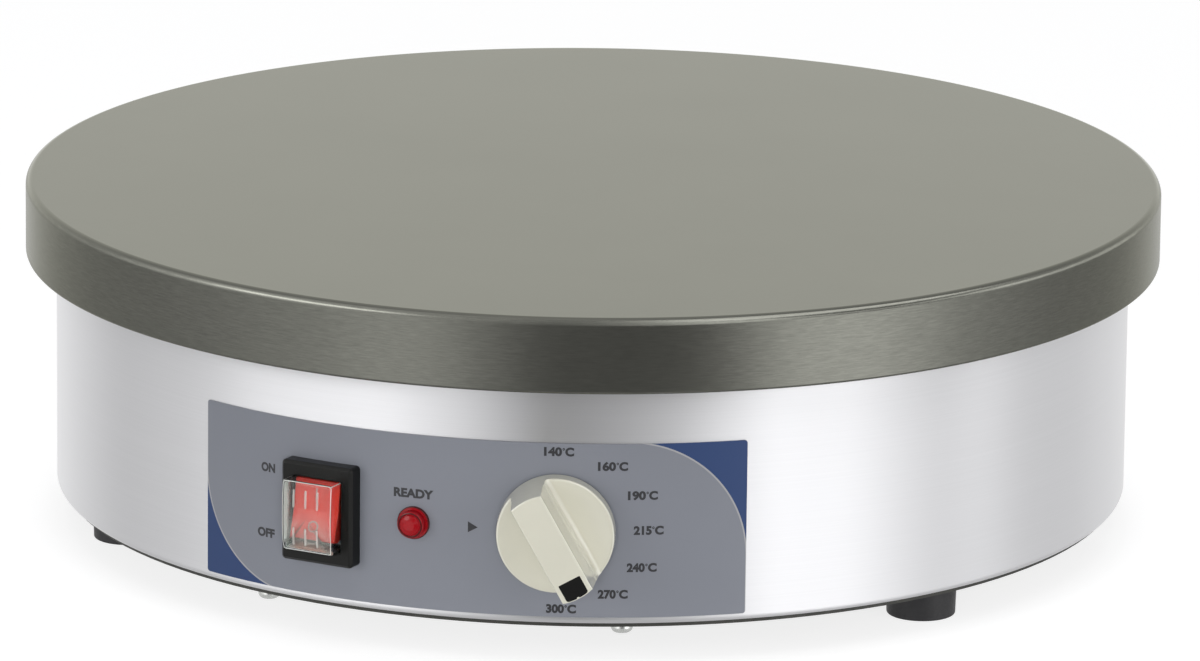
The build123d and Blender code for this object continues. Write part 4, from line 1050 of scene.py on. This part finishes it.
def knob():
    """Knob: a turned skirt with a dished face, and a drafted bar whose ends follow the skirt's cone."""
    face_edge = cone_radius(skirt_face)
    dish_edge = face_edge - skirt_land
    dish_radius = (dish_edge**2 + dish_depth**2) / (2 * dish_depth)

    def dish_at(away):
        """Height of the dished face, or of the level ring round it, at a distance from the axis."""
        away = np.minimum(away, dish_edge)
        return skirt_face - dish_depth + dish_radius - np.sqrt(dish_radius**2 - away**2)

    r = np.linspace(0, dish_edge, 14)
    edge = rounded([(dish_edge, skirt_face, 0), (face_edge, skirt_face, 0.7), (skirt_base, knob_gap, 0.3),
                    (skirt_base - 2.0, knob_gap, 0), (face_edge - 2.0, 3.0, 1.0), (0, 3.0, 0)], closed=False)
    skirt = np.vstack([np.stack([r, dish_at(r)], -1), edge[1:]])

    rows = [level(bar_outline(bar_root, flare=foot_round), bar_root)]
    for angle in np.radians([0, 12, 24, 36, 48, 60, 75, 90]):
        rise = foot_round * (1 - math.cos(angle))
        outline = bar_outline(skirt_face + rise, flare=foot_round * (1 - math.sin(angle)))
        rows.append(level(outline, dish_at(np.linalg.norm(outline, axis=1)) + rise))
    steps = [(lift, 0.0) for lift in np.linspace(8.4, step_height, 3)]
    steps += [(step_height + 0.25, 0.22), (step_height + 0.5, step_depth)]
    steps += [(lift, step_depth * (grip_front - lift) / (grip_front - step_height))
              for lift in np.linspace(step_height + 2, grip_front - edge_round - 0.1, 5)]
    rows += [level(bar_outline(lift, flare=-step), lift) for lift, step in steps]
    front = grip_front - 0.02
    for angle in np.radians([0, 15, 30, 45, 60, 75, 90]):
        drop = edge_round * (1 - math.sin(angle))
        rows.append(level(bar_outline(grip_front - drop, edge_round * (1 - math.cos(angle))), front - drop))
    rows.append(level(bar_outline(grip_front, edge_round + 0.06), front))
    surfaces = [grid(on_panel(turned(skirt, 160), knob_azimuth)),
                grid(on_panel(capped(rows), knob_azimuth, pointer_turn))]
    make_piece("knob_grip", surfaces, "ivory_plastic", ["control_knob"], body="knob", sharp=50.0)


def inlay():
    """Pointer inlay: a black tile in the bar's end, whose outer side follows the arc, with a notch."""
    half, start, margin, notch_size = 4.1, 12.0, 0.28, 0.45
    radius = cone_radius(grip_front) - margin
    end = math.sqrt(radius**2 - half**2)
    swing = math.asin(half / radius)
    turn = np.union1d(np.linspace(-swing, swing, 9), np.linspace(-1, 1, 21) / radius)
    notch = notch_size * np.exp(-(radius * turn / notch_size)**4)
    arc = (radius - notch)[:, None] * np.stack([np.cos(turn), np.sin(turn)], -1)
    corners = [(start, half, 0.35), (start, -half, 0.35), (end, -half, 0.9),
               *((x, y, 0) for x, y in arc[1:-1]), (end, half, 0.9)]
    outline = rounded(corners, steps=4, support=0.02)
    rows = [level(outline, grip_front - 0.8), level(outline, grip_front - 0.04),
            level(inset(outline, 0.05), grip_front), level(inset(outline, 0.15), grip_front)]
    surface = grid(on_panel(capped(rows), knob_azimuth, pointer_turn))
    make_piece("pointer_tile", [surface], "black_plastic", ["knob_pointer_inlay"], body="knob")


# ================================================================ feet
foot_taper = 0.35
shank_hole, head_hole, head_depth = 2.55, 6.2, 7.0       # radii of the stepped hole, and its step's height


def feet():
    """Feet: a tapered ring with a stepped hole for its screw, turned about each foot's axis."""
    for number in (1, 2, 3):
        node = f"rubber_foot_{number}"
        low, high = span(node)
        radius, height = (high[0] - low[0]) / 2, high[2]
        section = rounded([(shank_hole, height, 0), (radius, height, 0.3), (radius - foot_taper, 0, 0.8),
                           (head_hole, 0, 0.4), (head_hole, head_depth, 0), (shank_hole, head_depth, 0)])
        points = turned(section, 96) + (low + high) / 2 * (1, 1, 0)
        make_piece(f"foot_pad_{number}", [grid(points, loop_rows=True)], "foot_rubber", [node])


griddle_plate()
drum()
label()
printed_words()
printed_pointer()
switch_bezel()
splash_cap()
rocker()
rocker_marks()
lamp()
knob()
inlay()
feet()

for node in frame["nodes"].values():
    for place in node.material_slots:
        place.material = finishes[place.material.name.split(".")[0]]


# ================================================================ floor, light and camera
camera_turn = math.radians(16.8)         # azimuth of the camera
camera_rise = 0.2573                     # its elevation, in radians
camera_roll = 0.0114
camera_distance = 3600.0
camera_aim = (2.85, 66.88)               # to the right of the axis, and over the floor
camera_lens = 305.06


def camera():
    """Camera on a ray that rises from the aim, rolled a little about that ray."""
    right = np.array([math.cos(camera_turn), math.sin(camera_turn), 0])
    ahead = np.array([-math.sin(camera_turn) * math.cos(camera_rise),
                      math.cos(camera_turn) * math.cos(camera_rise), -math.sin(camera_rise)])
    up = np.cross(right, ahead)
    place = right * camera_aim[0] + np.array([0, 0, camera_aim[1]]) - ahead * camera_distance
    c, s = math.cos(camera_roll), math.sin(camera_roll)
    axes = np.eye(4)
    axes[:3] = np.column_stack([right * c + up * s, up * c - right * s, -ahead, place * MM])
    data = bpy.data.cameras.new("camera")
    data.sensor_width, data.lens, data.clip_end = 36.0, camera_lens, 100.0
    made = add_object("camera", data)
    made.matrix_world = Matrix(axes.tolist())
    bpy.context.scene.camera = made


floor_size = 30.0
floor_glow = 1.58            # lifts the open floor to white, and leaves the shadow on it


def floor():
    """Large pale floor. The camera sees it nearly white, and it keeps the object's shadow."""
    mesh = bpy.data.meshes.new("floor")
    corners = [(floor_size * x, floor_size * y, 0) for x, y in ((-1, -1), (1, -1), (1, 1), (-1, 1))]
    mesh.from_pydata(corners, [], [(0, 1, 2, 3)])
    made = add_object("floor", mesh)
    made.visible_glossy = False
    material = bpy.data.materials.new("floor_paper")
    material.use_nodes = True
    tree = material.node_tree
    tree.nodes.clear()
    paper = add(tree, "ShaderNodeBsdfDiffuse", {"Color": (0.82, 0.82, 0.82, 1)})
    white = add(tree, "ShaderNodeEmission", {"Color": (1, 1, 1, 1), "Strength": floor_glow})
    seen = maths(tree, "MULTIPLY", add(tree, "ShaderNodeLightPath").outputs["Is Camera Ray"], 0.5)
    mix = add(tree, "ShaderNodeMixShader", {0: seen, 1: paper.outputs[0], 2: white.outputs[0]})
    add(tree, "ShaderNodeOutputMaterial", {0: mix.outputs[0]})
    mesh.materials.append(material)


# Brightness of the studio round the object, by the angle from the camera's own azimuth in degrees:
# low down, where upright walls seen from above mirror it, and higher up.
studio_low = [(-180, 0.9), (-158, 1.0), (-138, 0.88), (-118, 0.68), (-100, 0.68), (-82, 0.82), (-60, 1.12),
              (-42, 1.6), (-32, 1.6), (-20, 0.8), (-10, 0.32), (10, 0.31), (22, 0.32), (32, 1.05), (41, 2.3),
              (56, 2.45), (66, 1.9), (78, 1.2), (92, 0.86), (106, 0.65), (130, 0.68), (152, 0.95), (180, 0.9)]
studio_high = [(-180, 1.35), (-160, 1.5), (-140, 1.15), (-118, 0.95), (-104, 1.4), (-84, 1.5), (-62, 1.45),
               (-48, 1.3), (-36, 0.95), (-23, 1.1), (-15, 0.75), (-8, 0.32), (6, 0.85), (16, 1.4), (26, 2.4),
               (34, 2.0), (44, 0.3), (66, 0.2), (78, 0.5), (94, 1.1), (106, 0.9), (124, 0.75), (150, 1.15),
               (166, 1.4), (180, 1.35)]
studio_under = 0.68          # below both
under_to_low, low_to_high = (-0.62, -0.38), (-0.14, 0.10)        # heights where one passes into the next
# Bright boxes: their angles, their lowest and highest point, and their brightness.
bright_boxes = [(-84, -40, 0.26, 0.57, 3.2), (34, 98, 0.17, 0.37, 1.5), (30, 110, 0.66, 0.98, 2.6),
                (84, 138, -0.04, 0.30, 0.95)]
box_soft = (0.012, 0.03)     # their soft borders, in turns and in height
studio_peak = 3.0
even_light = 0.34            # that matt surfaces get from all round


def brightness_round(tree, share, stops):
    """Ramp over a full turn, from 0 to 1, of the brightness at each stop."""
    made = add(tree, "ShaderNodeValToRGB", {0: share})
    elements = made.color_ramp.elements
    for place, (angle, value) in enumerate(stops):
        at = angle / 360 + 0.5
        spot = elements[place] if place < 2 else elements.new(at)
        spot.position = at
        spot.color = (*[value / studio_peak] * 3, 1)
    return maths(tree, "MULTIPLY", made.outputs[0], studio_peak)


def background(tree, colour, strength):
    """Output of one even background."""
    return add(tree, "ShaderNodeBackground", {"Color": (*colour, 1), "Strength": strength}).outputs[0]


def world():
    """Studio: an even pale light for matt surfaces, and softboxes with a darker gap between for shiny ones.

    The camera sees white. The angle about Z of a ray, counted from the camera's azimuth, and its
    height pick the brightness that glossy and transmitted rays see.
    """
    made = bpy.data.worlds.new("studio")
    bpy.context.scene.world = made
    made.use_nodes = True
    tree = made.node_tree
    tree.nodes.clear()
    x, y, z = apart(tree, add(tree, "ShaderNodeTexCoord").outputs["Generated"])
    c, s = math.cos(camera_turn), math.sin(camera_turn)
    angle = maths(tree, "ARCTAN2", weighed(tree, x, c, y, s), weighed(tree, x, s, y, -c))
    share = maths(tree, "MULTIPLY_ADD", angle, 1 / FULL_TURN, 0.5)
    low, high = brightness_round(tree, share, studio_low), brightness_round(tree, share, studio_high)
    brightness = ramp(tree, z, *low_to_high, ramp(tree, z, *under_to_low, studio_under, low), high)
    for first, last, bottom, top, strength in bright_boxes:
        across = within(tree, share, first / 360 + 0.5, last / 360 + 0.5, box_soft[0])
        box = maths(tree, "MULTIPLY", across, within(tree, z, bottom, top, box_soft[1]))
        brightness = maths(tree, "MULTIPLY_ADD", box, strength, brightness)
    path = add(tree, "ShaderNodeLightPath").outputs
    shiny = maths(tree, "MAXIMUM", path["Is Glossy Ray"], path["Is Transmission Ray"])
    even, boxes = background(tree, (0.97, 0.98, 1), even_light), background(tree, (1, 1, 1), brightness)
    lit = add(tree, "ShaderNodeMixShader", {0: shiny, 1: even, 2: boxes}).outputs[0]
    white = background(tree, (1, 1, 1), 1.0)
    seen = add(tree, "ShaderNodeMixShader", {0: path["Is Camera Ray"], 1: lit, 2: white}).outputs[0]
    add(tree, "ShaderNodeOutputWorld", {0: seen})


def softbox(name, angle, rise, distance, size, power):
    """Square lamp at an angle from the camera's azimuth, aimed at the middle of the object."""
    a, e = camera_turn + math.radians(angle), math.radians(rise)
    place = Vector((math.sin(a) * math.cos(e), -math.cos(a) * math.cos(e), math.sin(e))) * distance
    data = bpy.data.lights.new(name, "AREA")
    data.size, data.energy = size, power
    made = add_object(name, data)
    made.location = place
    made.rotation_euler = (Vector((0, 0, 0.07)) - place).to_track_quat("-Z", "Y").to_euler()
    made.visible_glossy = False


camera()
floor()
world()
softbox("softbox_left", -52, 10, 1.9, 1.0, 8.3)
softbox("softbox_front", -3, 6, 2.2, 0.9, 20.5)
softbox("softbox_right", 48, 14, 1.9, 1.0, 6.8)
softbox("softbox_top", 0, 80, 2.0, 1.6, 8.0)

view = bpy.context.scene.view_settings
view.view_transform = "Standard"
